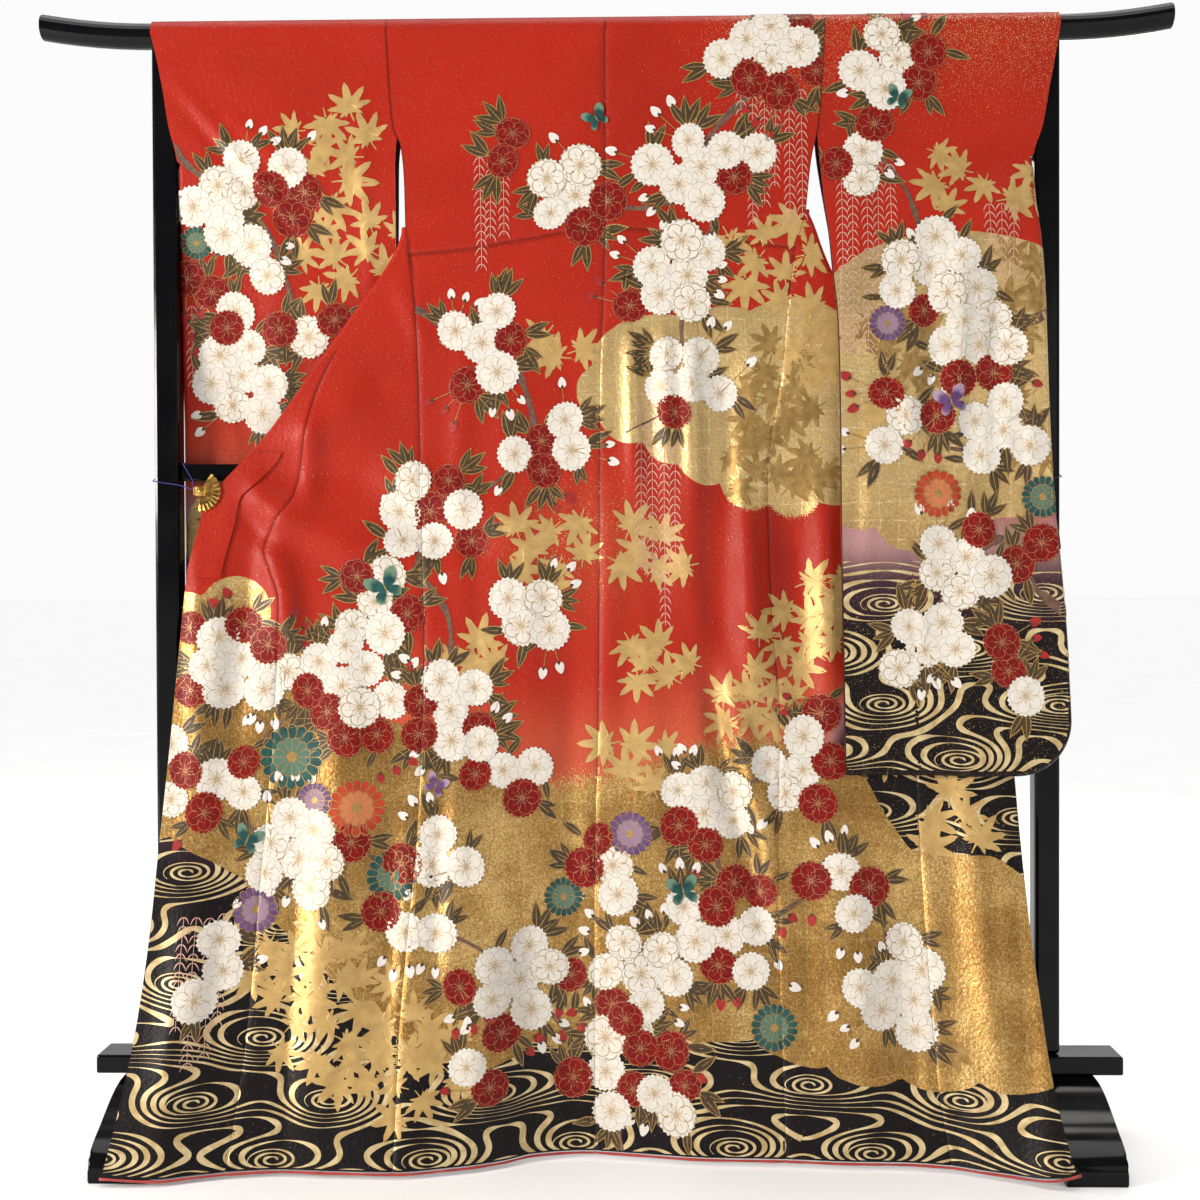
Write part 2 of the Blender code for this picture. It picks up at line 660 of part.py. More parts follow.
def sleeve_outer_reach(side, z):
    low = SLEEVE_BOTTOM + SLEEVE_ROUNDING
    inset = 0.0
    if z < low + SLEEVE_CORNER:
        rise = (low + SLEEVE_CORNER - z) / SLEEVE_CORNER
        inset = SLEEVE_CORNER * (1 - math.sqrt(max(0.0, 1 - rise * rise)))
    return SLEEVE_OUTER[side](z) - inset


def sleeve(side, silk):
    """Long hanging sleeve: two walls over the bar, shut below the cuff and at the bottom."""
    sign = SIGN[side]
    cloth = Cloth()
    walls = {"front": [], "rear": []}
    heights = sleeve_rows()
    for row in heights:
        shut = row <= CUFF_END
        for wall, towards in (("front", -1.0), ("rear", 1.0)):
            def depth(x, z, wall=wall):
                return sleeve_depth(side, wall, x, z)
            outer = sleeve_outer_reach(side, row) - (SLEEVE_ROUNDING if shut else 0.0)
            if wall == "rear" and not shut and row < BAR_HEIGHT - BAR_RADIUS:
                outer = min(outer, REAR_WALL_REACH)
            reaches = spaced(sleeve_inner_reach(side, row), outer, SLEEVE_COLUMNS)
            walls[wall].append([cloth.lay(depth, sign * r, row, towards) for r in reaches])
    for rows in walls.values():
        cloth.weave(rows)
    over = cloth.wrap(walls["front"][0])
    over[-1] = walls["rear"][0]
    cloth.weave(over)
    first_shut = next(i for i, row in enumerate(heights) if row <= CUFF_END)
    edge = [(walls["front"][i][-1], walls["rear"][i][-1]) for i in range(first_shut, len(heights))]
    edge += [(f, r) for f, r in list(zip(walls["front"][-1], walls["rear"][-1]))[-2::-1]]
    turns = []
    for i, (front, rear) in enumerate(edge):
        before = cloth.points[edge[max(0, i - 1)][0]]
        after = cloth.points[edge[min(len(edge) - 1, i + 1)][0]]
        along = (after - before).normalized()
        outward = Vector((along.z * -sign, 0, along.x * sign)).normalized()
        turns.append(cloth.turn(front, rear, outward))
    cloth.weave(turns)
    return cloth.solid(f"sleeve_{side}", silk)


def hem_roll(lining):
    """Padded roll of the lining that shows below the hem, all the way across."""
    sides = ROLL_SIDES
    stations = spaced(-OUTER_LINE["left"](0.0), OUTER_LINE["right"](0.0), ROLL_STATIONS)
    points, faces = [], []
    for x in stations:
        z = hem_height(x) - WALL / 2 - ROLL_RADIUS - SEAT_GAP
        y = body_depth(x, z)
        for k in range(sides):
            angle = 2 * math.pi * k / sides
            points.append((x, y + ROLL_RADIUS * math.cos(angle), z + ROLL_RADIUS * math.sin(angle)))
    for i in range(len(stations) - 1):
        for k in range(sides):
            a, b = i * sides + k, i * sides + (k + 1) % sides
            faces.append((a, b, b + sides, a + sides))
    faces.append(tuple(range(sides)))
    faces.append(tuple(range(len(points) - 1, len(points) - 1 - sides, -1)))
    return make_object("hem_roll", points, faces, lining)


def box(name, low, high, paint_used, rounding=EDGE_ROUNDING):
    """A bar or block with rounded long edges."""
    shape = bmesh.new()
    bmesh.ops.create_cube(shape, size=1.0)
    for vertex in shape.verts:
        vertex.co = Vector([low[i] + (vertex.co[i] + 0.5) * (high[i] - low[i]) for i in range(3)])
    bmesh.ops.bevel(shape, geom=shape.edges, offset=rounding, segments=2, profile=0.5, affect="EDGES")
    return finish_shape(name, shape, paint_used)


def finish_shape(name, shape, paint_used):
    bmesh.ops.recalc_face_normals(shape, faces=shape.faces)
    mesh = bpy.data.meshes.new(name)
    shape.to_mesh(mesh)
    shape.free()
    mesh.shade_smooth()
    mesh.set_sharp_from_angle(angle=math.radians(40))
    mesh.materials.append(paint_used)
    thing = bpy.data.objects.new(name, mesh)
    bpy.context.scene.collection.objects.link(thing)
    return thing


def top_bar(lacquer):
    """Round bar that carries the garment, its two ends curving up."""
    sides = 20
    straight = spaced(-BAR_STRAIGHT_HALF, BAR_STRAIGHT_HALF, 2)
    tips = spaced(BAR_STRAIGHT_HALF, BAR_HALF_LENGTH, 6)[1:]
    stations = [-x for x in reversed(tips)] + straight + tips
    rings = []
    shape = bmesh.new()
    for i, x in enumerate(stations):
        beyond = max(0.0, abs(x) - BAR_STRAIGHT_HALF) / (BAR_HALF_LENGTH - BAR_STRAIGHT_HALF)
        rise = BAR_TIP_RISE * beyond ** 2
        slope = math.copysign(2 * BAR_TIP_RISE * beyond / (BAR_HALF_LENGTH - BAR_STRAIGHT_HALF), x)
        square = Vector((-slope, 0, 1)).normalized()
        if i in (0, len(stations) - 1):
            square = Vector((0, 0, 1))
        centre = Vector((x, 0, BAR_HEIGHT + rise))
        ring = []
        for k in range(sides):
            angle = 2 * math.pi * k / sides
            spoke = Vector((0, 1, 0)) * math.cos(angle) + square * math.sin(angle)
            ring.append(shape.verts.new(centre + spoke * BAR_RADIUS))
        rings.append(ring)
    for near, far in zip(rings, rings[1:]):
        for k in range(sides):
            shape.faces.new((near[k], near[(k + 1) % sides], far[(k + 1) % sides], far[k]))
    ends = [shape.faces.new(rings[0]), shape.faces.new(rings[-1])]
    rim = [edge for face in ends for edge in face.edges]
    bmesh.ops.bevel(shape, geom=rim, offset=0.002, segments=2, profile=0.5, affect="EDGES")
    return finish_shape("top_bar", shape, lacquer)


def post(side, lacquer):
    sign = SIGN[side]
    inner, outer = sign * POST_INNER, sign * (POST_INNER + POST_SIZE)
    low = (min(inner, outer), -POST_SIZE / 2, SHELF_TOP + SEAT_GAP)
    high = (max(inner, outer), POST_SIZE / 2, BAR_HEIGHT - BAR_RADIUS - SEAT_GAP)
    return box(f"post_{side}", low, high, lacquer, rounding=0.005)


def middle_rail(lacquer):
    reach = POST_INNER - SEAT_GAP
    return box("middle_rail", (-reach, -RAIL_DEPTH / 2, RAIL_TOP - RAIL_HEIGHT),
               (reach, RAIL_DEPTH / 2, RAIL_TOP), lacquer)


def shelf_rail(lacquer):
    return box("shelf_rail", (-SHELF_HALF_LENGTH, -SHELF_DEPTH / 2, SHELF_TOP - SHELF_HEIGHT),
               (SHELF_HALF_LENGTH, SHELF_DEPTH / 2, SHELF_TOP), lacquer)


def foot(side, lacquer):
    """Arched block that runs from front to back under the shelf rail."""
    sign = SIGN[side]
    outline = [(row.reach, row.height) for row in FOOT_OUTLINE]
    outline = [(-y, z) for y, z in reversed(outline)] + outline
    shape = bmesh.new()
    inner, outer = sign * FOOT_INNER, sign * FOOT_OUTER
    near = [shape.verts.new((inner, y, z)) for y, z in outline]
    far = [shape.verts.new((outer, y, z)) for y, z in outline]
    faces = [shape.faces.new(near), shape.faces.new(far)]
    for i in range(len(outline)):
        j = (i + 1) % len(outline)
        shape.faces.new((near[i], near[j], far[j], far[i]))
    rim = [edge for face in faces for edge in face.edges if edge.calc_length() > 0
           and max(v.co.z for v in edge.verts) > 0.001]
    bmesh.ops.bevel(shape, geom=rim, offset=EDGE_ROUNDING, segments=2, profile=0.5, affect="EDGES")
    return finish_shape(f"foot_{side}", shape, lacquer)


def fan_outline():
    """Open fan seen from the front: a scalloped rim, straight sides and a hub."""
    points = []
    step = (FAN_END - FAN_START) / FAN_RIBS
    for rib in range(FAN_RIBS):
        for part, reach in ((0.0, FAN_EDGE_SHARE), (0.5, 1.0)):
            angle = FAN_START + step * (rib + part)
            points.append((FAN_RADIUS * reach * math.cos(angle), FAN_RADIUS * reach * math.sin(angle)))
    edge = FAN_RADIUS * FAN_EDGE_SHARE
    points.append((edge * math.cos(FAN_END), edge * math.sin(FAN_END)))
    turn = 2 * math.pi - (FAN_END - FAN_START)
    for k in range(1, 6):
        angle = FAN_END + turn * k / 6
        points.append((FAN_HUB * math.cos(angle), FAN_HUB * math.sin(angle)))
    return points


def plate(shape, outline, place, front, back):
    """A flat plate with the given outline in X and Z, from one depth to another."""
    near = [shape.verts.new((place[0] + x, front, place[1] + z)) for x, z in outline]
    far = [shape.verts.new((place[0] + x, back, place[1] + z)) for x, z in outline]
    shape.faces.new(near)
    shape.faces.new(list(reversed(far)))
    for i in range(len(outline)):
        j = (i + 1) % len(outline)
        shape.faces.new((near[j], near[i], far[i], far[j]))


def oblong(sign, near, far, half_height):
    """Outline of a small plate that reaches sideways from near to far."""
    corners = ((near, -half_height), (far, -half_height), (far, half_height), (near, half_height))
    return [(sign * x, z) for x, z in corners]


def clip(side, brass):
    """Fan-shaped clip: a fan in front, a jaw behind, and a bridge past the cloth's edge."""
    sign = SIGN[side]
    place = (sign * CLIP_PIVOT[side], CLIP_HEIGHT)
    pieces = []
    fan = [(-sign * x, z) for x, z in fan_outline()]
    bridge = oblong(sign, BRIDGE_NEAR, BRIDGE_FAR, BRIDGE_HALF)
    jaw = oblong(sign, -JAW_REACH, BRIDGE_FAR, JAW_HALF)
    layers = ((fan, CLIP_FRONT - FAN_THICKNESS, CLIP_FRONT),
              (bridge, CLIP_FRONT - FAN_THICKNESS / 2, CLIP_REAR + JAW_THICKNESS / 2),
              (jaw, CLIP_REAR, CLIP_REAR + JAW_THICKNESS))
    for number, (outline, front, back) in enumerate(layers):
        shape = bmesh.new()
        plate(shape, outline, place, front, back)
        name = f"clip_{side}" if number == 0 else f"clip_{side}_cutter_{number}"
        pieces.append(finish_shape(name, shape, brass))
    body = pieces[0]
    for extra in pieces[1:]:
        extra.hide_render = True
        extra.display_type = "WIRE"
        join = body.modifiers.new(extra.name, "BOOLEAN")
        join.operation = "UNION"
        join.object = extra
    return body


def thread_route(side):
    """Corners of the thread: from the clip round the post and back over the rail."""
    inner, outer = POST_INNER - THREAD_CLEAR, POST_INNER + POST_SIZE + THREAD_CLEAR
    middle = (inner + outer) / 2
    face = POST_SIZE / 2 + THREAD_CLEAR
    rail_face = RAIL_DEPTH / 2 + THREAD_CLEAR
    rail_top = RAIL_TOP + THREAD_CLEAR
    start = CLIP_PIVOT[side] + BRIDGE_FAR + THREAD_CLEAR
    first = CLIP_HEIGHT + 0.009
    corners = (
        (start, -0.0245, CLIP_HEIGHT + 0.002),
        (inner, -face, first),
        (middle, -face - THREAD_BOW, first + 0.5 * THREAD_RISE),
        (outer, -face, first + THREAD_RISE),
        (outer + THREAD_BOW, 0.0, first + 2 * THREAD_RISE),
        (outer, face, first + 3 * THREAD_RISE),
        (middle, face + THREAD_BOW, first + 4 * THREAD_RISE),
        (inner, face, first + 5 * THREAD_RISE),
        (inner - 0.001, rail_face, rail_top),
        (inner - 0.002, 0.0, rail_top + 0.0006),
        (inner - 0.003, -rail_face, rail_top),
        (start + 0.0020, -0.0205, CLIP_HEIGHT + 0.016),
        (start, -0.0235, CLIP_HEIGHT + 0.0055),
    )
    return [Vector((SIGN[side] * x, y, z)) for x, y, z in corners]


def thread(side, cord):
    curve = bpy.data.curves.new(f"thread_{side}", "CURVE")
    curve.dimensions = "3D"
    curve.bevel_depth = THREAD_RADIUS
    curve.bevel_resolution = 1
    curve.use_fill_caps = True
    route = thread_route(side)
    spline = curve.splines.new("POLY")
    spline.points.add(len(route) - 1)
    for point, place in zip(spline.points, route):
        point.co = (*place, 1.0)
    curve.materials.append(cord)
    thing = bpy.data.objects.new(f"thread_{side}", curve)
    bpy.context.scene.collection.objects.link(thing)
    return thing


def centre_on_origin():
    """Move everything so that the box of the whole is centred over the origin."""
    bpy.context.view_layer.update()
    shown = [o for o in bpy.data.objects if not o.hide_render]
    depths = []
    for thing in shown:
        evaluated = thing.evaluated_get(bpy.context.evaluated_depsgraph_get())
        mesh = evaluated.to_mesh()
        depths += [vertex.co.y for vertex in mesh.vertices]
        evaluated.to_mesh_clear()
    shift = -(min(depths) + max(depths)) / 2
    for thing in bpy.data.objects:
        thing.location.y = shift


def build():
    for thing in list(bpy.data.objects):
        bpy.data.objects.remove(thing, do_unlink=True)
    silk = paint("silk", (0.58, 0.03, 0.015), 0.45)
    lining = paint("lining", (0.37, 0.05, 0.035), 0.6)
    lacquer = paint("lacquer", (0.004, 0.004, 0.005), 0.12)
    brass = paint("brass", (0.62, 0.43, 0.16), 0.3, 1.0)
    cord = paint("thread", (0.06, 0.03, 0.25), 0.7)
    top_bar(lacquer)
    middle_rail(lacquer)
    shelf_rail(lacquer)
    collar(silk)
    hem_roll(lining)
    for side in ("left", "right"):
        post(side, lacquer)
        foot(side, lacquer)
        back_panel(side, silk)
        front_panel(side, silk)
        okumi_panel(side, silk)
        sleeve(side, silk)
        collar_end(side, silk)
        clip(side, brass)
        thread(side, cord)
    centre_on_origin()


build()
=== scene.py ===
# %% [markdown]
# # A furisode over its stand
# A furisode is the long-sleeved formal kimono. This one hangs over the round bar of a black lacquered
# stand with its back to us, so that the dyed picture on the back can be seen whole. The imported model
# already gives every piece its place and size. This lesson adds the looks: fine folds, dyed silk, gold
# leaf, printed flowers, lacquer and brass.

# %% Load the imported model
import json
import math
import random
from collections import namedtuple

import bmesh
import bpy
import numpy as np
from mathutils import Matrix, Vector

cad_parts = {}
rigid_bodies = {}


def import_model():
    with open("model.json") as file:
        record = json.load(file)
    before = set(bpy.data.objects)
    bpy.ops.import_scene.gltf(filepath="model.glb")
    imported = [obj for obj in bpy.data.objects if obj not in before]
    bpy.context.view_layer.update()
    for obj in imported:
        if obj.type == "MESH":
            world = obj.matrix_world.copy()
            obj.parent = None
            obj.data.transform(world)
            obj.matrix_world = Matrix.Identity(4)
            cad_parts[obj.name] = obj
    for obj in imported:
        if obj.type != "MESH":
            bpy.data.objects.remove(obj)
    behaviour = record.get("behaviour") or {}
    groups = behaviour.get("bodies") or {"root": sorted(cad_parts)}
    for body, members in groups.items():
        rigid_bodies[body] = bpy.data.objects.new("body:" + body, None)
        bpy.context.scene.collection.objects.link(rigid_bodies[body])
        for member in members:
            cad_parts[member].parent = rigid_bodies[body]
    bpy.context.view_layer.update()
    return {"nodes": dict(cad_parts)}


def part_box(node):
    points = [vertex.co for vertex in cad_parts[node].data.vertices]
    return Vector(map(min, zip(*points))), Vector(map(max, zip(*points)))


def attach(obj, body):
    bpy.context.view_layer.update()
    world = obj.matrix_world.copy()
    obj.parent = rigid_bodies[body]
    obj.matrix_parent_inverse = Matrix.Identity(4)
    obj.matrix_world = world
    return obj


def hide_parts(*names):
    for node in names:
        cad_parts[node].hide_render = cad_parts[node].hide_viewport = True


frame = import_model()
post_low, post_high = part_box("post_left")
POST_PLANE = (post_low.y + post_high.y) / 2
print("pieces in the packed model:", len(frame["nodes"]))
print("the posts stand in the plane y =", round(POST_PLANE, 4))

# %% [markdown]
# ## The camera
# A whole garment is photographed from a few metres away with a slightly long lens, so that its sides
# stay upright. The camera stands nearly square to the bar, at the height of its middle. Its small turns
# are given as angles about the three axes, and one more quarter turn makes it look along +Y.

# %% Place the camera
CAMERA_DISTANCE = 2.4
CAMERA_ACROSS = 0.0415
CAMERA_HEIGHT = 0.8147
TURN_LEFT = 0.0205
TURN_DOWN = -0.0141
TILT = 0.0038
LENS_MM = 49.68

camera = bpy.data.objects.new("camera", bpy.data.cameras.new("camera"))
bpy.context.scene.collection.objects.link(camera)
camera.data.lens = LENS_MM
camera.data.sensor_width = 36.0
turns = (Matrix.Rotation(TURN_LEFT, 4, "Z") @ Matrix.Rotation(TURN_DOWN, 4, "X")
         @ Matrix.Rotation(TILT, 4, "Y") @ Matrix.Rotation(math.pi / 2, 4, "X"))
place = Matrix.Translation((CAMERA_ACROSS, POST_PLANE - CAMERA_DISTANCE, CAMERA_HEIGHT))
camera.matrix_world = place @ turns
bpy.context.scene.camera = camera
print("the lens is", LENS_MM, "mm and the camera", CAMERA_DISTANCE, "m from the posts")

# %% [markdown]
# ## Materials with a grain
# Every finish below is a small net of shader nodes around one Principled BSDF. Most of them need the
# same first steps: a colour that varies a little from place to place, and a fine bump. A helper makes
# those once. The noise is read in object space, which is metres here, so its scale is in lumps per metre.

# %% A helper for colours and one for nets of nodes
TAU = 2 * math.pi


def screen(red, green, blue):
    """A colour as seen on a screen, 0 to 255, as the linear values that Blender mixes."""
    return tuple(((c / 255 + 0.055) / 1.055) ** 2.4 if c > 10 else c / 255 / 12.92
                 for c in (red, green, blue))


def map_range(tree, value, low, high, to_low, to_high):
    """Stretch a range of values to another one, and clamp it there."""
    node = tree.nodes.new("ShaderNodeMapRange")
    tree.links.new(value, node.inputs["Value"])
    for name, number in (("From Min", low), ("From Max", high), ("To Min", to_low), ("To Max", to_high)):
        node.inputs[name].default_value = number
    return node.outputs["Result"]


def toward(angle, reach=1.0):
    """The point at a distance from the middle in one direction."""
    return reach * math.cos(angle), reach * math.sin(angle)


class Finish:
    """A material and short ways to add nodes to it."""

    def __init__(self, name):
        self.material = bpy.data.materials.new(name)
        self.material.use_nodes = True
        self.nodes = self.material.node_tree.nodes
        self.links = self.material.node_tree.links
        self.shader = self.nodes["Principled BSDF"]
        self.where = self.nodes.new("ShaderNodeTexCoord").outputs["Object"]

    def join(self, value, socket):
        """Link an output to a socket, or set a plain value on it."""
        if isinstance(value, bpy.types.NodeSocket):
            self.links.new(value, socket)
        else:
            socket.default_value = value

    def noise(self, scale, detail=2.0, roughness=0.5, stretch=(1, 1, 1)):
        """Soft random values; stretch squeezes them along an axis."""
        mapping = self.nodes.new("ShaderNodeMapping")
        mapping.inputs["Scale"].default_value = stretch
        self.links.new(self.where, mapping.inputs["Vector"])
        node = self.nodes.new("ShaderNodeTexNoise")
        self.links.new(mapping.outputs[0], node.inputs["Vector"])
        node.inputs["Scale"].default_value = scale
        node.inputs["Detail"].default_value = detail
        node.inputs["Roughness"].default_value = roughness
        return node.outputs["Fac"]

    def spread(self, value, low, high, to_low=0.0, to_high=1.0):
        return map_range(self.material.node_tree, value, low, high, to_low, to_high)

    def sum(self, operation, first, second=0.0):
        """One step of arithmetic on two values."""
        node = self.nodes.new("ShaderNodeMath")
        node.operation = operation
        self.join(first, node.inputs[0])
        self.join(second, node.inputs[1])
        return node.outputs[0]

    def mix(self, share, first, second):
        """Blend two colours."""
        node = self.nodes.new("ShaderNodeMix")
        node.data_type = "RGBA"
        self.join(share, node.inputs["Factor"])
        for value, number in ((first, 6), (second, 7)):
            self.join((*value, 1.0) if isinstance(value, tuple) else value, node.inputs[number])
        return node.outputs[2]

    def height(self, axis="Z"):
        """One of the three coordinates, the height if no other is named."""
        node = self.nodes.new("ShaderNodeSeparateXYZ")
        self.links.new(self.where, node.inputs[0])
        return node.outputs[axis]

    def attribute(self, name, output="Fac"):
        """A value or colour that is stored on the points."""
        node = self.nodes.new("ShaderNodeAttribute")
        node.attribute_name = name
        return node.outputs[output]

    def bump(self, height, depth):
        """Raise the surface by a height from 0 to 1 times a depth in metres."""
        node = self.nodes.new("ShaderNodeBump")
        node.inputs["Strength"].default_value = 1.0
        node.inputs["Distance"].default_value = depth
        self.links.new(height, node.inputs["Height"])
        self.links.new(node.outputs[0], self.shader.inputs["Normal"])

    def set(self, **values):
        """Fill the shader's sockets; a name's underscores stand for spaces."""
        for name, value in values.items():
            self.join(value, self.shader.inputs[name.replace("_", " ")])
        return self.material


def plain_finish(name, light, dark, roughness, scale=180.0, grain=900.0, depth=0.0001, **values):
    """A finish that wavers between two close colours and has a fine grain."""
    finish = Finish(name)
    finish.bump(finish.noise(grain), depth)
    colour = finish.mix(finish.spread(finish.noise(scale), 0.35, 0.65), dark, light)
    rough = finish.spread(finish.noise(scale * 0.3), 0.3, 0.7, roughness * 0.9, roughness * 1.1)
    return finish.set(Base_Color=colour, Roughness=rough, **values)


print("brick red as Blender mixes it:", [round(c, 3) for c in screen(205, 48, 30)])

# %% [markdown]
# ## Floor and light
# A cut-out garment is lit softly and evenly. A wide pale floor runs off to a sky that is white only low
# behind the stand, where it is seen. Overhead and in front it is dimmer, or it would flatten the folds.
# The key light is a disc far out on the left and a little in front, so that it rakes across the folds.
# A weak one fills from the right, one stands behind, and a wide soft sun comes from above. A disc's
# size, not its strength, decides how soft the folds' shades are.

# %% Make the floor, the sky and the lights
FLOOR_REACH = 60.0
floor_mesh = bpy.data.meshes.new("floor")
corners = [(-FLOOR_REACH, -FLOOR_REACH, 0), (FLOOR_REACH, -FLOOR_REACH, 0),
           (FLOOR_REACH, FLOOR_REACH, 0), (-FLOOR_REACH, FLOOR_REACH, 0)]
floor_mesh.from_pydata(corners, [], [(0, 1, 2, 3)])
floor = bpy.data.objects.new("floor", floor_mesh)
bpy.context.scene.collection.objects.link(floor)
floor_mesh.materials.append(plain_finish("pale_floor", screen(250, 250, 250), screen(247, 247, 247), 0.6,
                                         scale=3.0, grain=40.0))

world = bpy.data.worlds.new("pale_sky")
world.use_nodes = True
sky = world.node_tree
background = sky.nodes["Background"]
background.inputs["Color"].default_value = (1.0, 1.0, 1.0, 1.0)
parts = sky.nodes.new("ShaderNodeSeparateXYZ")
sky.links.new(sky.nodes.new("ShaderNodeTexCoord").outputs["Generated"], parts.inputs[0])
higher = sky.nodes.new("ShaderNodeMath")
sky.links.new(parts.outputs["Z"], higher.inputs[0])
sky.links.new(map_range(sky, parts.outputs["Y"], -0.35, 0.15, 0.75, 0.0), higher.inputs[1])
sky.links.new(map_range(sky, higher.outputs[0], 0.45, 0.75, 0.97, 0.28), background.inputs["Strength"])
bpy.context.scene.world = world
bpy.context.scene.view_settings.view_transform = "Standard"

Light = namedtuple("Light", "name place aim size watts")
LIGHTS = (
    Light("key_light", (-4.0, -2.3, 1.4), (0.0, 0.0, 0.7), 1.05, 190.0),
    Light("fill_light", (2.2, -3.0, 1.4), (0.0, 0.0, 0.8), 1.8, 9.0),
    Light("rear_light", (0.8, 3.0, 2.4), (0.0, 0.0, 0.9), 2.5, 40.0),
)
for light in LIGHTS:
    lamp = bpy.data.objects.new(light.name, bpy.data.lights.new(light.name, "AREA"))
    lamp.data.shape = "DISK"
    lamp.data.size = light.size
    lamp.data.energy = light.watts
    lamp.data.color = (1.0, 0.95, 0.88)
    lamp.location = light.place
    lamp.rotation_euler = (Vector(light.aim) - Vector(light.place)).to_track_quat("-Z", "Y").to_euler()
    bpy.context.scene.collection.objects.link(lamp)
overhead = bpy.data.objects.new("overhead_light", bpy.data.lights.new("overhead_light", "SUN"))
overhead.data.energy = 1.9
overhead.data.angle = math.radians(50)
bpy.context.scene.collection.objects.link(overhead)
print("lights:", ", ".join(light.name for light in LIGHTS))

# %% [markdown]
# ## Where the lines of the garment lie
# A kimono is cut in straight strips, so a few lines say where everything is: the centre seam, the side
# seams, the outer fold of the spread fronts, the seams of the overlap panels and the sleeves' edges.
# Each is a short table of heights and distances from the middle, the same one the model was built from,
# and a smooth curve runs through its rows.

# %% Smooth lines through short tables
def ease(low, high, value):
    """0 below low, 1 above high, and a smooth step between."""
    t = np.clip((value - low) / (high - low), 0.0, 1.0)
    return t * t * (3 - 2 * t)


def line(*rows):
    """A function that runs smoothly through (place, value) rows and never overshoots them."""
    places, values = np.array(sorted(rows), float).T
    rise = np.diff(values) / np.diff(places)
    same_way = rise[:-1] * rise[1:] > 0
    total = np.where(same_way, rise[:-1] + rise[1:], 1.0)
    between = np.where(same_way, 2 * rise[:-1] * rise[1:] / total, 0.0)
    slopes = np.concatenate([rise[:1], between, rise[-1:]])

    def at(place):
        place = np.clip(place, places[0], places[-1])
        i = np.clip(np.searchsorted(places, place) - 1, 0, len(rise) - 1)
        span = places[i + 1] - places[i]
        t = (place - places[i]) / span
        start = values[i] * (1 + 2 * t) * (1 - t) ** 2 + slopes[i] * span * t * (1 - t) ** 2
        end = values[i + 1] * t * t * (3 - 2 * t) + slopes[i + 1] * span * t * t * (t - 1)
        return start + end
    return at


# Rows of (height, distance from the middle of the stand)
centre_seam = line(
    (1.6, 0.003), (1.315, 0.002), (1.07, -0.006), (0.67, -0.009), (0.32, -0.016), (0.0, -0.015))
side_seam = {
    "left": line(
        (1.611, 0.3125), (1.46, 0.302), (1.436, 0.292), (1.392, 0.287), (1.317, 0.284), (1.204, 0.271),
        (1.069, 0.266), (0.85, 0.263), (0.703, 0.258), (0.496, 0.263), (0.282, 0.278), (0.176, 0.285),
        (0.0, 0.288)),
    "right": line(
        (1.61, 0.317), (1.465, 0.308), (1.409, 0.297), (1.338, 0.288), (1.277, 0.273), (1.204, 0.264),
        (1.109, 0.255), (0.946, 0.233), (0.749, 0.238), (0.618, 0.248), (0.389, 0.243), (0.0, 0.249)),
}
outer_line = {
    "left": line(
        (1.317, 0.289), (1.284, 0.3), (1.189, 0.365), (1.113, 0.42), (1.028, 0.481), (0.952, 0.552),
        (0.93, 0.574), (0.888, 0.584), (0.815, 0.601), (0.704, 0.61), (0.56, 0.619), (0.43, 0.627),
        (0.326, 0.632), (0.206, 0.642), (0.11, 0.656), (0.0, 0.677)),
    "right": line(
        (1.338, 0.293), (1.314, 0.303), (1.28, 0.314), (1.247, 0.328), (1.14, 0.402), (1.04, 0.472),
        (0.952, 0.54), (0.93, 0.556), (0.888, 0.562), (0.7, 0.569), (0.533, 0.574), (0.36, 0.583),
        (0.228, 0.593), (0.15, 0.6), (0.055, 0.616), (0.0, 0.63)),
}
okumi_seam = {
    "left": line(
        (1.163, 0.374), (1.07, 0.418), (0.978, 0.437), (0.932, 0.448), (0.891, 0.476), (0.855, 0.49),
        (0.825, 0.48), (0.784, 0.466), (0.667, 0.47), (0.498, 0.478), (0.34, 0.488), (0.186, 0.496),
        (0.0, 0.516)),
    "right": line(
        (1.163, 0.376), (1.07, 0.41), (0.978, 0.424), (0.85, 0.432), (0.67, 0.438), (0.497, 0.441),
        (0.34, 0.447), (0.115, 0.458), (0.0, 0.473)),
}
collar_edge = {
    "left": line(
        (1.6, 0.04), (1.5, 0.032), (1.42, 0.042), (1.31, 0.092), (1.19, 0.195), (1.09, 0.325),
        (1.0, 0.458), (0.94, 0.553)),
    "right": line(
        (1.6, 0.04), (1.5, 0.032), (1.42, 0.042), (1.31, 0.095), (1.19, 0.19), (1.09, 0.31), (1.0, 0.44),
        (0.94, 0.535)),
}
sleeve_inner = {
    "left": line((1.445, 0.2965), (1.413, 0.299), (1.332, 0.3), (1.1, 0.306), (0.53, 0.308)),
    "right": line(
        (1.445, 0.3055), (1.402, 0.309), (1.347, 0.314), (1.302, 0.32), (1.247, 0.325), (1.177, 0.332),
        (1.063, 0.335), (0.53, 0.338)),
}
# The silk of the left sleeve reaches up to the post, a little past the solid one, so that less light
# shows between them.
sleeve_outer = {
    "left": line(
        (1.62, 0.657), (1.577, 0.646), (1.523, 0.635), (1.466, 0.626), (1.42, 0.615), (1.409, 0.6138),
        (1.34, 0.615), (1.25, 0.6165), (1.07, 0.618), (0.86, 0.618), (0.53, 0.6165)),
    "right": line(
        (1.604, 0.652), (1.561, 0.645), (1.512, 0.636), (1.456, 0.626), (1.409, 0.6125), (1.35, 0.613),
        (1.3, 0.619), (1.229, 0.624), (1.062, 0.63), (0.918, 0.637), (0.846, 0.644), (0.701, 0.651),
        (0.53, 0.652)),
}
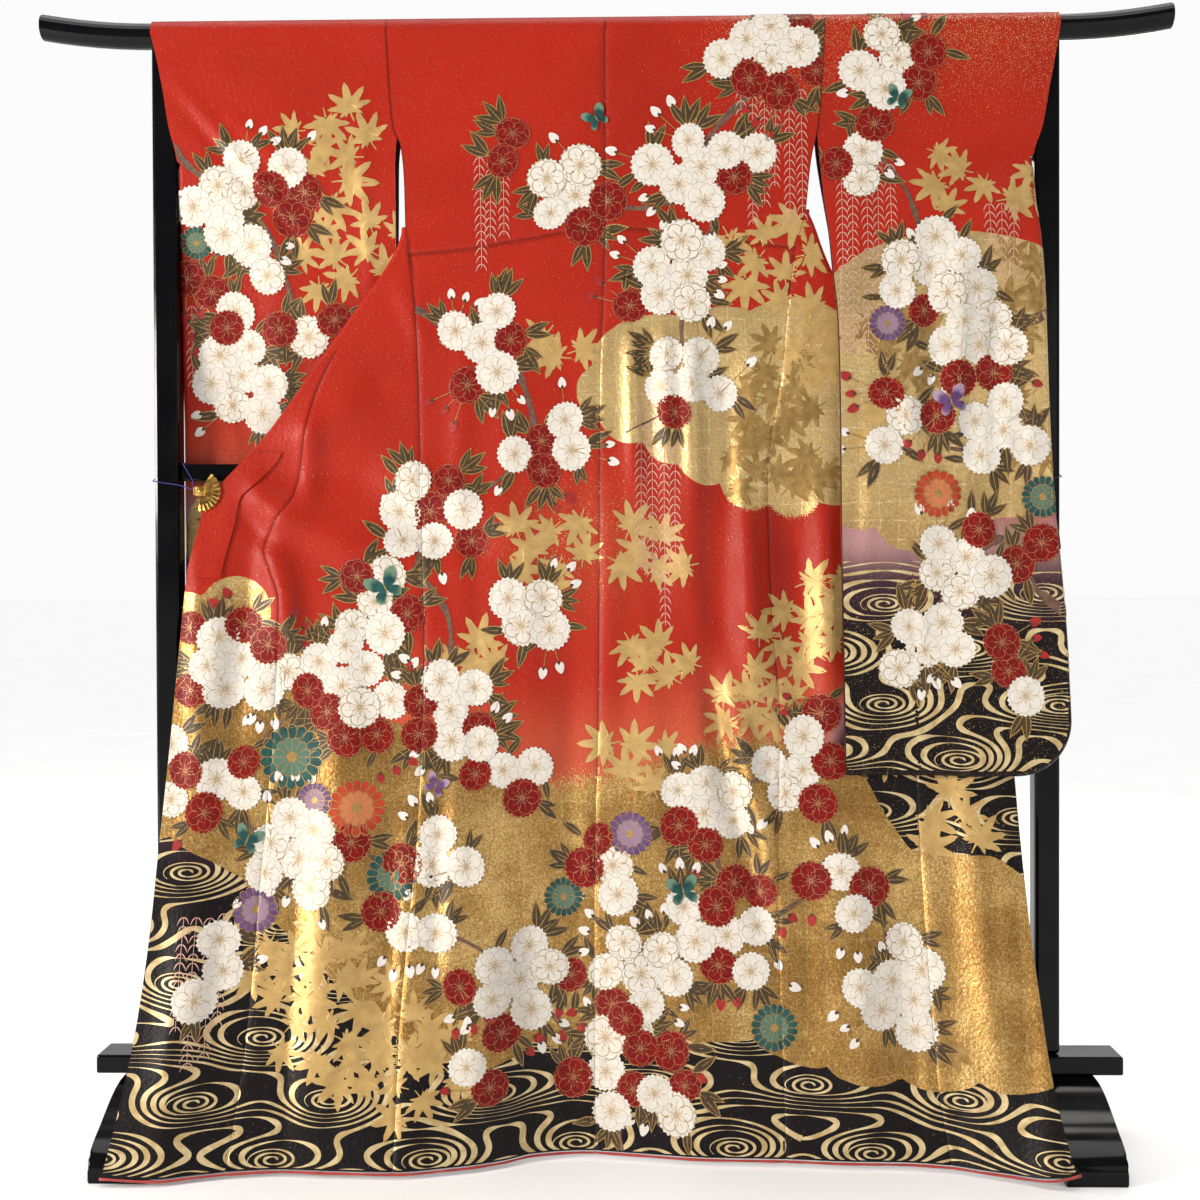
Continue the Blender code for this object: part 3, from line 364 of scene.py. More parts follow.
# Rows of (distance across, how far in front of the posts the hem stands), and how high the hem lifts
hem_stand = line(
    (-0.7, 0.212), (-0.6, 0.21), (-0.56, 0.196), (-0.5, 0.178), (-0.44, 0.17), (-0.37, 0.176),
    (-0.28, 0.18), (-0.21, 0.164), (-0.143, 0.136), (-0.1, 0.106), (-0.03, 0.092), (0.03, 0.101),
    (0.138, 0.121), (0.244, 0.126), (0.336, 0.135), (0.406, 0.137), (0.474, 0.15), (0.505, 0.165),
    (0.557, 0.188), (0.6, 0.213), (0.66, 0.222))
hem_lift = line(
    (-0.68, 0.004), (-0.6, 0.0), (-0.3, 0.0), (-0.22, 0.001), (0.4, 0.001), (0.56, 0.001), (0.6, 0.006),
    (0.635, 0.016))
print("the hem is", round(float(outer_line["left"](0.0) + outer_line["right"](0.0)), 3), "m wide")

# %% [markdown]
# ## How deep the cloth hangs
# Seen square on, every layer of the cloth is a sheet with one depth for each place across and each
# height. That makes folds simple: a fold is a soft ridge or trough along a slanting line, and its height
# is added to the depth. The large folds come from the model's own table. Smaller ones are added here,
# uneven in length, depth and spacing, as they fall in real silk: they hang from the bar, fan out from
# the clip that holds the front, and gather towards the hem.

# %% The large folds
BAR_HEIGHT = 1.6
BAR_WRAP = 0.0205
BODY_HANG = 0.0235
HEM_HEIGHT = 0.01
LEAN_START = 0.95
LEAN_POWER = 1.6
CLIP_HEIGHT = 0.94
CLIP_ACROSS = {"left": 0.581, "right": 0.563}
RAIL_MIDDLE = 0.96775
SLEEVE_BOTTOM = 0.534
SIGN = {"left": -1.0, "right": 1.0}
SIDES = ("left", "right")

Fold = namedtuple("Fold", "x_top z_top x_low z_low width rise")


def rows_of(kind, *rows):
    return [kind(*row) for row in rows]


BODY_FOLDS = rows_of(Fold,
    (0.12, 1.08, 0.14, 0.42, 0.03, 0.009), (0.19, 1.1, 0.2, 0.56, 0.026, 0.007),
    (0.155, 0.9, 0.165, 0.45, 0.02, -0.005), (0.07, 0.8, 0.06, 0.3, 0.028, 0.006),
    (-0.048, 0.74, -0.056, 0.3, 0.02, -0.006), (-0.15, 1.15, -0.13, 0.62, 0.045, 0.005),
    (-0.33, 1.08, -0.475, 1.0, 0.03, 0.009), (-0.3, 0.96, -0.52, 0.96, 0.024, -0.005),
    (-0.31, 0.83, -0.5, 0.925, 0.03, 0.008), (-0.48, 0.9, -0.455, 0.7, 0.022, 0.012),
    (-0.51, 0.89, -0.53, 0.56, 0.02, -0.007), (-0.56, 0.86, -0.575, 0.42, 0.022, 0.009),
    (-0.36, 0.72, -0.395, 0.06, 0.04, 0.013), (-0.3, 0.52, -0.32, 0.05, 0.03, -0.007),
    (-0.56, 0.4, -0.6, 0.06, 0.03, 0.01), (-0.165, 0.56, -0.175, 0.03, 0.035, 0.01),
    (0.02, 0.42, 0.035, 0.03, 0.03, 0.006), (0.33, 0.56, 0.35, 0.04, 0.038, 0.011),
    (0.42, 0.48, 0.425, 0.06, 0.028, -0.007), (0.51, 0.7, 0.54, 0.06, 0.032, 0.011),
    (0.42, 0.9, 0.52, 0.94, 0.028, 0.008))
SLEEVE_FOLDS = {
    "left": rows_of(Fold,
        (-0.6, 1.47, -0.42, 1.18, 0.03, 0.005), (-0.54, 1.3, -0.52, 0.76, 0.034, -0.0045),
        (-0.4, 1.2, -0.41, 0.64, 0.03, 0.004)),
    "right": rows_of(Fold,
        (0.62, 1.42, 0.43, 1.13, 0.03, 0.007), (0.6, 1.28, 0.48, 0.86, 0.032, -0.005),
        (0.42, 1.3, 0.4, 0.72, 0.03, 0.006), (0.54, 1.0, 0.53, 0.62, 0.036, 0.007)),
}
print("large folds:", len(BODY_FOLDS) + sum(len(folds) for folds in SLEEVE_FOLDS.values()))

# %% [markdown]
# The small folds come in two lists. The first holds those that show best in raking light, each in its
# own place. The second is a scatter by chance: short ones along the hem, a few on the back and some on
# the sleeves. A fixed seed makes chance fall the same way in every run.

# %% The small folds
SMALL_BODY_FOLDS = rows_of(Fold,
    (0.038, 1.2, 0.042, 0.92, 0.01, 0.004), (0.062, 1.18, 0.064, 0.94, 0.009, -0.0034),
    (0.088, 1.2, 0.092, 0.92, 0.01, 0.004), (0.122, 1.2, 0.128, 0.9, 0.012, 0.005),
    (0.172, 1.18, 0.176, 0.88, 0.02, -0.0075), (0.215, 1.16, 0.222, 0.9, 0.012, 0.0024),
    (0.262, 0.98, 0.285, 0.58, 0.026, -0.012), (0.205, 0.96, 0.215, 0.62, 0.018, 0.008),
    (0.31, 0.98, 0.318, 0.6, 0.014, 0.005), (0.127, 0.74, 0.232, 0.28, 0.016, -0.01),
    (0.16, 0.72, 0.262, 0.29, 0.016, 0.008), (0.3, 1.22, 0.262, 1.04, 0.012, 0.0024),
    (-0.545, 0.925, -0.455, 0.845, 0.015, -0.005), (-0.535, 0.96, -0.43, 0.885, 0.02, 0.005),
    (-0.42, 1.06, -0.428, 0.9, 0.015, 0.0045), (-0.455, 0.84, -0.44, 0.69, 0.014, 0.004),
    (-0.335, 0.96, -0.115, 0.895, 0.028, 0.0075), (-0.33, 0.9, -0.14, 0.845, 0.026, -0.008),
    (-0.585, 0.88, -0.59, 0.6, 0.01, 0.0026), (-0.3, 1.25, -0.25, 1.13, 0.014, 0.002),
    (-0.345, 0.8, -0.33, 0.56, 0.022, -0.0045), (-0.06, 1.18, -0.03, 0.82, 0.024, -0.0035),
    (-0.2, 1.16, -0.215, 0.76, 0.016, 0.0028), (0.01, 0.96, 0.0, 0.52, 0.016, 0.0026),
    (-0.205, 0.56, -0.215, 0.18, 0.014, 0.004), (-0.235, 0.52, -0.24, 0.2, 0.01, -0.0034))
# Ridges are raised more than troughs are sunk
SMALL_BODY_FOLDS = [fold._replace(rise=fold.rise * (1.25 if fold.rise > 0 else 1.1),
                                  width=fold.width * 1.15) for fold in SMALL_BODY_FOLDS]
scatter = random.Random(11)
for step in range(26):
    across = -0.58 + 1.14 * (step + scatter.uniform(0.1, 0.9)) / 26
    top = scatter.uniform(0.16, 0.52)
    drift = scatter.uniform(-0.02, 0.02)
    height = scatter.choice((-1, 1)) * scatter.uniform(0.001, 0.003)
    SMALL_BODY_FOLDS.append(Fold(across, top, across * 1.05 + drift, 0.03,
                                 scatter.uniform(0.008, 0.018), height))
for step in range(14):
    across = -0.24 + 0.48 * (step + scatter.uniform(0.1, 0.9)) / 14
    top = scatter.uniform(0.75, 1.2)
    low = top - scatter.uniform(0.18, 0.5)
    height = scatter.choice((-1, 1)) * scatter.uniform(0.0008, 0.002)
    SMALL_BODY_FOLDS.append(Fold(across, top, across + scatter.uniform(-0.02, 0.02), low,
                                 scatter.uniform(0.009, 0.02), height))
SMALL_SLEEVE_FOLDS = {"left": [], "right": []}
for side, sign in SIGN.items():
    for step in range(9):
        across = sign * (0.33 + 0.27 * (step + scatter.uniform(0.1, 0.9)) / 9)
        top = scatter.uniform(0.95, 1.45)
        low = top - scatter.uniform(0.2, 0.55)
        height = scatter.choice((-1, 1)) * scatter.uniform(0.0008, 0.0022)
        SMALL_SLEEVE_FOLDS[side].append(Fold(across, top, across - sign * scatter.uniform(0.0, 0.08), low,
                                             scatter.uniform(0.009, 0.018), height))
SMALL_SLEEVE_FOLDS["left"] += rows_of(Fold,
    (-0.64, 1.56, -0.4, 1.27, 0.01, 0.0026), (-0.625, 1.51, -0.43, 1.29, 0.009, -0.0024),
    (-0.56, 1.5, -0.34, 1.3, 0.012, 0.0022), (-0.35, 1.52, -0.335, 1.15, 0.01, 0.0024))
SMALL_SLEEVE_FOLDS["right"] += rows_of(Fold,
    (0.437, 1.32, 0.43, 0.86, 0.012, 0.0042), (0.505, 1.3, 0.495, 0.88, 0.014, 0.0046),
    (0.61, 1.34, 0.6, 0.9, 0.012, 0.0042), (0.465, 1.3, 0.46, 0.88, 0.01, -0.0036),
    (0.56, 1.3, 0.55, 0.9, 0.014, -0.0044), (0.38, 1.26, 0.372, 0.8, 0.014, 0.0036))
# All the small ridges on the body are raised once more, the scattered ones too
SMALL_BODY_FOLDS = [fold._replace(rise=fold.rise * (1.3 if fold.rise > 0 else 1.0))
                    for fold in SMALL_BODY_FOLDS]
print("folds on the body:", len(BODY_FOLDS) + len(SMALL_BODY_FOLDS))


# %% [markdown]
# The layers lie at different depths: the backs and the spread fronts face us, the rest of each front
# lies behind the bar, and each sleeve has two walls. Folds, seams and the pinch under a clip are added
# to a layer's plain depth, and fade out where the cloth is held.

# %% The depth of each layer
def fold_height(folds, x, z):
    """How far a list of folds lifts the cloth towards us at each place."""
    total = np.zeros(np.broadcast(x, z).shape)
    for fold in folds:
        run_x = fold.x_low - fold.x_top
        run_z = fold.z_low - fold.z_top
        length = math.hypot(run_x, run_z)
        along = ((x - fold.x_top) * run_x + (z - fold.z_top) * run_z) / length
        off = ((x - fold.x_top) * run_z - (z - fold.z_top) * run_x) / length
        taper = ease(-0.1 * length, 0.35 * length, along) * ease(-0.1 * length, 0.35 * length, length - along)
        total += fold.rise * taper * np.exp(-(off / fold.width) ** 2)
    return total


PINCH_INSET = 0.012
PINCH_FLAT = 0.03
PINCH_END = 0.075


def near_clip(x, z):
    """1 away from the two clips and 0 under them, where the cloth is pinched flat."""
    middle = np.where(x < 0, CLIP_ACROSS["left"], CLIP_ACROSS["right"])
    return ease(PINCH_FLAT, PINCH_END, np.hypot(np.abs(x) - middle + PINCH_INSET, z - CLIP_HEIGHT))


GROOVE_DEPTH = 0.0016
GROOVE_WIDTH = 0.0024


def seam_groove(x, z):
    """The seams pull the cloth in a little along their lines."""
    depth = np.exp(-((x - centre_seam(z)) / GROOVE_WIDTH) ** 2)
    for side, sign in SIGN.items():
        depth += np.exp(-((sign * x - side_seam[side](z)) / GROOVE_WIDTH) ** 2) * ease(1.3, 1.28, z)
        depth += np.exp(-((sign * x - okumi_seam[side](z)) / GROOVE_WIDTH) ** 2) * ease(1.16, 1.1, z)
    return GROOVE_DEPTH * depth


def body_depth(x, z):
    """Depth of the layer that faces us: the backs, the spread fronts and the overlap panels."""
    hang = BAR_WRAP + (BODY_HANG - BAR_WRAP) * ease(1.42, 1.3, z)
    lean = np.maximum(0.0, (LEAN_START - z) / LEAN_START) ** LEAN_POWER
    standing = hang + (hem_stand(x) - hang) * lean
    calm = ease(1.36, 1.16, z) * near_clip(x, z)
    small = near_clip(x, z) * ease(1.5, 1.3, z)
    return (-standing - calm * fold_height(BODY_FOLDS, x, z) - small * fold_height(SMALL_BODY_FOLDS, x, z)
            + near_clip(x, z) * seam_groove(x, z))


def rear_depth(x, z):
    """Depth of the layer behind the bar: it comes round in front of the rail to the clip."""
    round_side = ease(0.2, 0.3, np.abs(x)) * ease(1.35, 1.25, z)
    turn_gap = 0.0042 + 0.0075 * ease(1.0, 1.22, z)
    return BAR_WRAP * (1 - round_side) + (body_depth(x, z) + turn_gap) * round_side


# Rows of (height, depth) for the two walls of each sleeve
sleeve_wall = {
    "left": {
        "front": line(
            (1.6, -0.0205), (1.415, -0.0205), (1.29, -0.0045), (1.15, 0.007), (1.02, 0.018),
            (0.53, 0.018)),
        "rear": line(
            (1.6, 0.0205), (1.415, 0.0205), (1.29, 0.0235), (1.15, 0.0265), (1.02, 0.032), (0.53, 0.032)),
    },
    "right": {
        "front": line(
            (1.6, -0.0205), (1.44, -0.0205), (1.335, -0.04), (1.28, -0.045), (1.15, -0.049),
            (0.53, -0.049)),
        "rear": line(
            (1.6, 0.0205), (1.44, 0.0205), (1.335, -0.0215), (1.28, -0.031), (1.15, -0.034),
            (0.53, -0.034)),
    },
}


def sleeve_depth(side, wall, x, z):
    """Depth of a sleeve's front or rear wall."""
    depth = sleeve_wall[side][wall](z)
    above_hem = ease(SLEEVE_BOTTOM, SLEEVE_BOTTOM + 0.08, z)
    if side == "right":
        depth = depth + (body_depth(x, z) + BODY_HANG) * ease(1.44, 1.28, z)
    else:
        above_hem = above_hem * ease(0.0, 0.06, np.abs(z - RAIL_MIDDLE))
    large = ease(1.45, 1.25, z) * above_hem * fold_height(SLEEVE_FOLDS[side], x, z)
    small = ease(1.58, 1.5, z) * above_hem * fold_height(SMALL_SLEEVE_FOLDS[side], x, z)
    return depth - large - small


hem_stands = -body_depth(np.array([-0.3]), np.array([0.02]))[0]
print("the hem stands", round(float(hem_stands), 3), "m before the posts")

# %% [markdown]
# ## A sheet from grids of points
# Cloth simulation would have to find a shape that the photograph already shows, so each piece is woven
# directly instead: a grid of points about 6.5 mm apart is laid on the layer's depth, the grids of one
# piece are welded, and a Solidify modifier gives the sheet its thickness. Its inner side takes the
# second material, the lining. Each point keeps its place along the cloth as an attribute, so that the
# dye can run on over the bar, where height alone would squeeze it.

# %% Weld grids into a thin shell
CELL = 0.0065
SHELL = 0.0012
HALF_SEAM = 0.00015
PINCH = 0.0022


def own(thing, *nodes, slot="silk"):
    """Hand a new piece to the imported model: it rides on the whole and may stand for solid pieces."""
    if not thing.users_collection:
        bpy.context.scene.collection.objects.link(thing)
    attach(thing, "root")
    if nodes:
        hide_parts(*nodes)
    return thing


class Sheet:
    """Grids of points that become one sheet of cloth."""

    def __init__(self):
        self.points, self.along, self.faces = [], [], []
        self.count = 0

    def weave(self, x, y, z, along, outward):
        """Add a grid; outward is roughly where its dyed side faces."""
        x, y, z, along = np.broadcast_arrays(x, y, z, along)
        rows, columns = x.shape
        number = np.arange(rows * columns).reshape(rows, columns)
        ring = np.stack([number[:-1, :-1], number[:-1, 1:], number[1:, 1:], number[1:, :-1]], -1)
        ring = ring.reshape(-1, 4)
        points = np.stack([x, y, z], -1).reshape(-1, 3)
        across = np.cross(points[ring[:, 2]] - points[ring[:, 0]], points[ring[:, 3]] - points[ring[:, 1]])
        if (across @ np.array(outward, float)).sum() < 0:
            ring = ring[:, ::-1]
        self.faces.append(ring + self.count)
        self.points.append(points)
        self.along.append(along.reshape(-1))
        self.count += rows * columns

    def shell(self, name, materials, thickness=SHELL):
        """Weld the grids, thicken them and keep the place along the cloth on every point."""
        mesh = bpy.data.meshes.new(name)
        points = np.concatenate(self.points) + np.array([0.0, POST_PLANE, 0.0])
        mesh.from_pydata(points.tolist(), [], np.concatenate(self.faces).tolist())
        mesh.attributes.new("along", "FLOAT", "POINT").data.foreach_set("value", np.concatenate(self.along))
        welded = bmesh.new()
        welded.from_mesh(mesh)
        bmesh.ops.remove_doubles(welded, verts=welded.verts, dist=0.00003)
        welded.to_mesh(mesh)
        welded.free()
        for material in materials:
            mesh.materials.append(material)
        thing = bpy.data.objects.new(name, mesh)
        bpy.context.scene.collection.objects.link(thing)
        thicken = thing.modifiers.new("thickness", "SOLIDIFY")
        thicken.thickness = thickness
        thicken.offset = 0.0
        thicken.material_offset = len(materials) - 1
        solid = bpy.data.meshes.new_from_object(thing.evaluated_get(bpy.context.evaluated_depsgraph_get()))
        thing.modifiers.clear()
        thing.data = solid
        bpy.data.meshes.remove(mesh)
        solid.name = name
        solid.shade_smooth()
        solid.set_sharp_from_angle(angle=math.radians(50))
        dye(solid)
        return thing


def columns(start, end, wide):
    """Places from one edge to the other, with one narrow column along each edge."""
    start, end = np.broadcast_arrays(np.asarray(start, float)[:, None], np.asarray(end, float)[:, None])
    narrow = np.minimum(PINCH, np.abs(end - start) / 5) * np.sign(end - start)
    count = max(2, round(wide / CELL))
    inner = (start + narrow) + (end - start - 2 * narrow) * np.linspace(0, 1, count + 1)
    return np.concatenate([start, inner, end], axis=1)


def half_turn(front, rear, outward, roundness=0.005):
    """Rows of points that carry one edge round to another in a half turn."""
    middle = (front + rear) / 2
    reach = (rear - front) / 2
    width = np.minimum(roundness, np.linalg.norm(reach, axis=1, keepdims=True))
    angles = np.radians(np.linspace(-90, 90, 9))[None, :, None]
    return (middle[:, None] + outward[:, None] * width[:, None] * np.cos(angles)
            + reach[:, None] * np.sin(angles))


def over_bar(x, rows=13):
    """Points that carry a row at bar height over the bar, and how far along the cloth they lie."""
    angles = np.linspace(0, math.pi, rows)[:, None]
    return (x + 0 * angles, -np.cos(angles) * BAR_WRAP, BAR_HEIGHT + np.sin(angles) * BAR_WRAP,
            angles * BAR_WRAP)


# %% [markdown]
# ## Rows that every piece shares
# Two pieces only meet cleanly if their rows of points lie at the same heights. So one list of heights is
# made, dense all the way down, with the garment's own marks in it: the armpits, the point of the
# overlap panel, the end of the cuff, the clips and the tuck. A tuck runs across the back above the
# waist. It takes up length for a growing wearer, and shows as one shallow, slightly drooping ledge.

# %% Make the heights, and the reaches that depend on them
OKUMI_TOP = 1.39
OKUMI_TURN = 1.163
ARMPIT = {"left": 1.317, "right": 1.338}
CUFF_END = 1.409
SEWN_TO = 1.445
COLLAR_END = 0.815
COLLAR_END_TOP = 0.995
COLLAR_STOP = 0.96
COLLAR_WIDTH = 0.05
COLLAR_LIFT = 0.0024
TIP_WIDTH = 0.003
FOLD_ROUNDING = 0.005
SLEEVE_ROUNDING = 0.006
SLEEVE_CORNER = 0.075
SLEEVE_LOW = SLEEVE_BOTTOM + SLEEVE_ROUNDING
TUCK = 1.3
TUCK_EDGE = 0.0016
HEM_ZONE = 0.035
tuck_line = line(
    (-0.273, 1.28), (-0.209, 1.285), (-0.117, 1.299), (0.003, 1.316), (0.052, 1.313), (0.266, 1.285))
marks = sorted({BAR_HEIGHT, BAR_HEIGHT - 2 * HALF_SEAM, OKUMI_TOP + HALF_SEAM, OKUMI_TOP - HALF_SEAM,
                OKUMI_TURN + HALF_SEAM, OKUMI_TURN - HALF_SEAM, ARMPIT["left"], ARMPIT["right"], CUFF_END,
                SEWN_TO, COLLAR_END_TOP, COLLAR_STOP, CLIP_HEIGHT, COLLAR_END, TUCK + TUCK_EDGE, TUCK,
                TUCK - TUCK_EDGE, HEM_ZONE, 0.0}, reverse=True)
heights = []
for upper, lower in zip(marks, marks[1:]):
    heights += list(np.linspace(upper, lower, max(1, math.ceil((upper - lower) / CELL)) + 1)[:-1])
heights = np.array(heights + [0.0])


def rows_from(high, low):
    return heights[(heights <= high + 1e-9) & (heights >= low - 1e-9)]


def hem_height(x):
    return HEM_HEIGHT + hem_lift(x)


def height_at(row, x):
    """The true height of a row: the last few are lifted so that the lowest one follows the hem."""
    return row + hem_height(x) * np.clip(1 - row / HEM_ZONE, 0.0, 1.0)


def fold_inset(x, z):
    return np.minimum(FOLD_ROUNDING, (rear_depth(x, z) - body_depth(x, z)) / 2)


def outer_reach(side, z):
    """Reach of the flat layer at the outer fold, or of the free edge below the clip."""
    reach = outer_line[side](z)
    return reach - np.where(z >= CLIP_HEIGHT - 1e-9, fold_inset(SIGN[side] * reach, z), 0.0)


def collar_reaches(side, z):
    """Reach of the collar's sewn side and of its free edge, behind the bar."""
    edge = collar_edge[side](z)
    room = np.where(z < ARMPIT[side], outer_reach(side, z) - edge, COLLAR_WIDTH * 2)
    width = np.minimum(COLLAR_WIDTH, np.maximum(TIP_WIDTH, 0.8 * room))
    return edge + width, edge


def rear_okumi_reach(side, z):
    """Reach of the overlap panel's seam behind the bar, from the collar down to the fold."""
    top = collar_reaches(side, np.array([OKUMI_TOP]))[0] + TIP_WIDTH
    low = outer_reach(side, np.array([OKUMI_TURN])) - TIP_WIDTH
    share = np.clip((OKUMI_TOP - z) / (OKUMI_TOP - OKUMI_TURN), 0.0, 1.0)
    return top + (low - top) * share ** 0.9


def front_okumi_reach(side, z):
    return np.minimum(okumi_seam[side](z), outer_reach(side, z) - TIP_WIDTH)


def lay(sheet, depth, side, rows, start, end, wide, towards, lift=0.0):
    """Weave one flat stretch between two reaches and return its points row by row."""
    x = SIGN[side] * columns(start, end, wide)
    z = height_at(rows[:, None], x)
    y = depth(x, z) + towards * lift
    sheet.weave(x, y, z, z, (0, towards, 0))
    return np.stack([x, y, z], -1)


def join_edges(sheet, side, front, rear):
    """Close the fold between the last points of two stretches."""
    outward = np.tile([SIGN[side], 0.0, 0.0], (len(front), 1))
    ring = half_turn(front, rear, outward)
    sheet.weave(ring[..., 0], ring[..., 1], ring[..., 2], ring[..., 2], outward[0])


print("rows of points from the bar to the hem:", len(heights))

# %% [markdown]
# ## The dyed ground
# The ground is brick red. Lower down it is shaded off, as a dyer does with a wide damp brush, through
# salmon into a field of gold leaf, and round that field into aubergine. Brushed shading has no edge, so
# a colour on every point is enough for it. Gold leaf does have an edge, cut in round cloud lobes. For
# that each point stores how far it lies inside the nearest cloud, and the shader draws the edge where
# this distance passes zero, far finer than the grid.

# %% Colours and clouds of the ground
RED = np.array(screen(174, 35, 14))
SALMON = np.array(screen(198, 84, 56))
LILAC = np.array(screen(180, 136, 136))
PLUM = np.array(screen(58, 34, 46))
AUBERGINE = np.array(screen(13, 5, 8))

# Rows of (distance across, height) for the gold field's upper and lower edges and for the dark ground
gold_top = line(
    (-0.7, 0.7), (-0.55, 0.76), (-0.45, 0.72), (-0.33, 0.62), (-0.22, 0.585), (-0.12, 0.52), (0.0, 0.53),
    (0.1, 0.56), (0.22, 0.585), (0.3, 0.575), (0.355, 0.545), (0.4, 0.47), (0.44, 0.425), (0.53, 0.425),
    (0.6, 0.385), (0.7, 0.36))
gold_low = line(
    (-0.7, 0.46), (-0.56, 0.42), (-0.46, 0.33), (-0.37, 0.25), (-0.28, 0.17), (-0.18, 0.135),
    (-0.08, 0.15), (0.05, 0.15), (0.16, 0.165), (0.24, 0.145), (0.33, 0.115), (0.45, 0.105), (0.7, 0.13))
dark_top = line(
    (-0.7, 0.5), (-0.56, 0.46), (-0.45, 0.4), (-0.3, 0.3), (-0.1, 0.26), (0.16, 0.26), (0.27, 0.4),
    (0.34, 0.585), (0.42, 0.625), (0.7, 0.66))

Lobe = namedtuple("Lobe", "across height radius stretch")
BODY_LOBES = (
    Lobe(0.08, 1.12, 0.07, 1.4), Lobe(0.17, 1.14, 0.06, 1.4), Lobe(0.27, 1.12, 0.09, 1.2),
    Lobe(0.3, 1.02, 0.08, 1.1), Lobe(0.22, 1.03, 0.09, 1.0), Lobe(0.14, 1.06, 0.08, 1.0),
    Lobe(0.33, 0.96, 0.045, 1.0), Lobe(0.27, 0.945, 0.045, 1.0), Lobe(0.21, 0.955, 0.045, 1.0),
    Lobe(0.15, 0.99, 0.045, 1.0), Lobe(0.1, 1.02, 0.045, 1.0), Lobe(0.04, 1.055, 0.05, 1.0),
    Lobe(0.0, 1.08, 0.04, 1.0), Lobe(-0.6, 0.74, 0.055, 1.0), Lobe(-0.53, 0.765, 0.052, 1.0))
SLEEVE_LOBES = {
    "right": (
        Lobe(0.5, 1.2, 0.1, 1.9), Lobe(0.5, 1.08, 0.12, 1.7), Lobe(0.5, 0.98, 0.09, 1.9),
        Lobe(0.36, 0.93, 0.05, 1.0), Lobe(0.43, 0.9, 0.05, 1.0), Lobe(0.5, 0.915, 0.05, 1.0),
        Lobe(0.57, 0.95, 0.055, 1.0), Lobe(0.64, 0.99, 0.05, 1.0)),
    "left": (
        Lobe(-0.46, 0.9, 0.07, 2.2), Lobe(-0.36, 0.865, 0.045, 1.0), Lobe(-0.43, 0.845, 0.045, 1.0),
        Lobe(-0.5, 0.85, 0.05, 1.0), Lobe(-0.57, 0.87, 0.05, 1.0)),
}
# Height where a sleeve's red starts to fade, and where its aubergine has taken over
SLEEVE_FADE = {"right": (0.9, 0.8), "left": (0.93, 0.8)}


def inside_lobes(lobes, x, s):
    """How far inside the nearest lobe each place lies, negative outside."""
    depth = np.full(np.shape(x), -1.0)
    for lobe in lobes:
        away = np.hypot((x - lobe.across) / lobe.stretch, s - lobe.height)
        depth = np.maximum(depth, lobe.radius - away)
    return depth


def scallops(x, pitch=0.102, depth=0.024):
    """Round lobes of a cloud's lower edge, as a height to add to it."""
    share = 2 * ((x / pitch) % 1.0) - 1
    return depth * (1 - np.sqrt(np.maximum(0.0, 1 - (0.93 * share) ** 2)))


def mixed(first, second, share):
    return first + (second - first) * np.asarray(share)[..., None]


def body_ground(x, s):
    """Ground colour, depth inside the gold, softness of its edge and gold dust on the body."""
    band = ease(0.16, 0.01, s - gold_top(x)) * ease(-0.46, -0.26, x)
    haze = np.exp(-((x + 0.03) / 0.12) ** 2 - ((s - 0.86) / 0.11) ** 2)
    colour = mixed(np.broadcast_to(RED, (*x.shape, 3)), SALMON, np.clip(0.95 * band + 0.35 * haze, 0, 1))
    colour = mixed(colour, LILAC, 0.8 * ease(0.09, 0.02, s - dark_top(x)))
    colour = mixed(colour, PLUM, ease(0.05, -0.01, s - dark_top(x)))
    colour = mixed(colour, AUBERGINE, ease(0.02, -0.08, s - dark_top(x)))
    field = np.minimum(gold_top(x) - s, s - gold_low(x) - scallops(x))
    clouds = inside_lobes(BODY_LOBES, x, s)
    middle = ease(-0.3, -0.16, x) * ease(0.36, 0.26, x) * ease(0.0, 0.03, s - gold_low(x) - 0.1)
    softness = 0.1 * middle * ease(0.95, 0.8, s)
    dust = (0.9 * ease(0.05, 0.25, x) * ease(1.42, 1.56, s) + 0.7 * haze
            + 0.35 * band * ease(-0.04, 0.0, s - gold_top(x)))
    return colour, np.maximum(field, clouds), softness, dust


def sleeve_ground(side, x, s):
    """The same four for a sleeve."""
    start, end = SLEEVE_FADE[side]
    colour = mixed(np.broadcast_to(RED, (*x.shape, 3)), SALMON, 0.8 * ease(start + 0.16, start, s))
    colour = mixed(colour, LILAC, ease(start + 0.03, start - 0.03, s))
    colour = mixed(colour, PLUM, ease(start - 0.03, end, s))
    colour = mixed(colour, AUBERGINE, ease(end + 0.01, end - 0.08, s))
    dust = 0.8 * ease(1.4, 1.58, s) * (side == "right") + 0.4 * ease(start + 0.12, start, s)
    return colour, inside_lobes(SLEEVE_LOBES[side], x, s), 0.0 * x, dust


def seam_shade(name, x, s):
    """Painted shade: seams show as thin dark lines, because the cloth dips into them."""
    z = np.minimum(s, BAR_HEIGHT)
    side = np.where(x < 0, "left", "right")
    away = np.abs(x - centre_seam(z)) if "sleeve" not in name else np.full(x.shape, 1.0)
    for name_of_side, sign in SIGN.items():
        here = side == name_of_side
        if "sleeve" in name:
            reach = np.abs(sign * x - sleeve_inner_reach(name_of_side, z)) + 0.02 * (z < SEWN_TO)
        else:
            reach = np.minimum(np.abs(sign * x - side_seam[name_of_side](z)),
                               np.abs(sign * x - okumi_seam[name_of_side](z)) + 0.1 * (z > 1.14))
        away = np.where(here, np.minimum(away, reach), away)
    shade = 0.62 * np.exp(-(away / 0.0013) ** 2)
    # Painted shadow: a thin dark line just below the tuck's ledge on the back
    if "back" in name:
        below = tuck_line(x) - s
        shade = np.maximum(shade, 0.5 * np.exp(-((below - 0.001) / 0.0016) ** 2))
    return shade


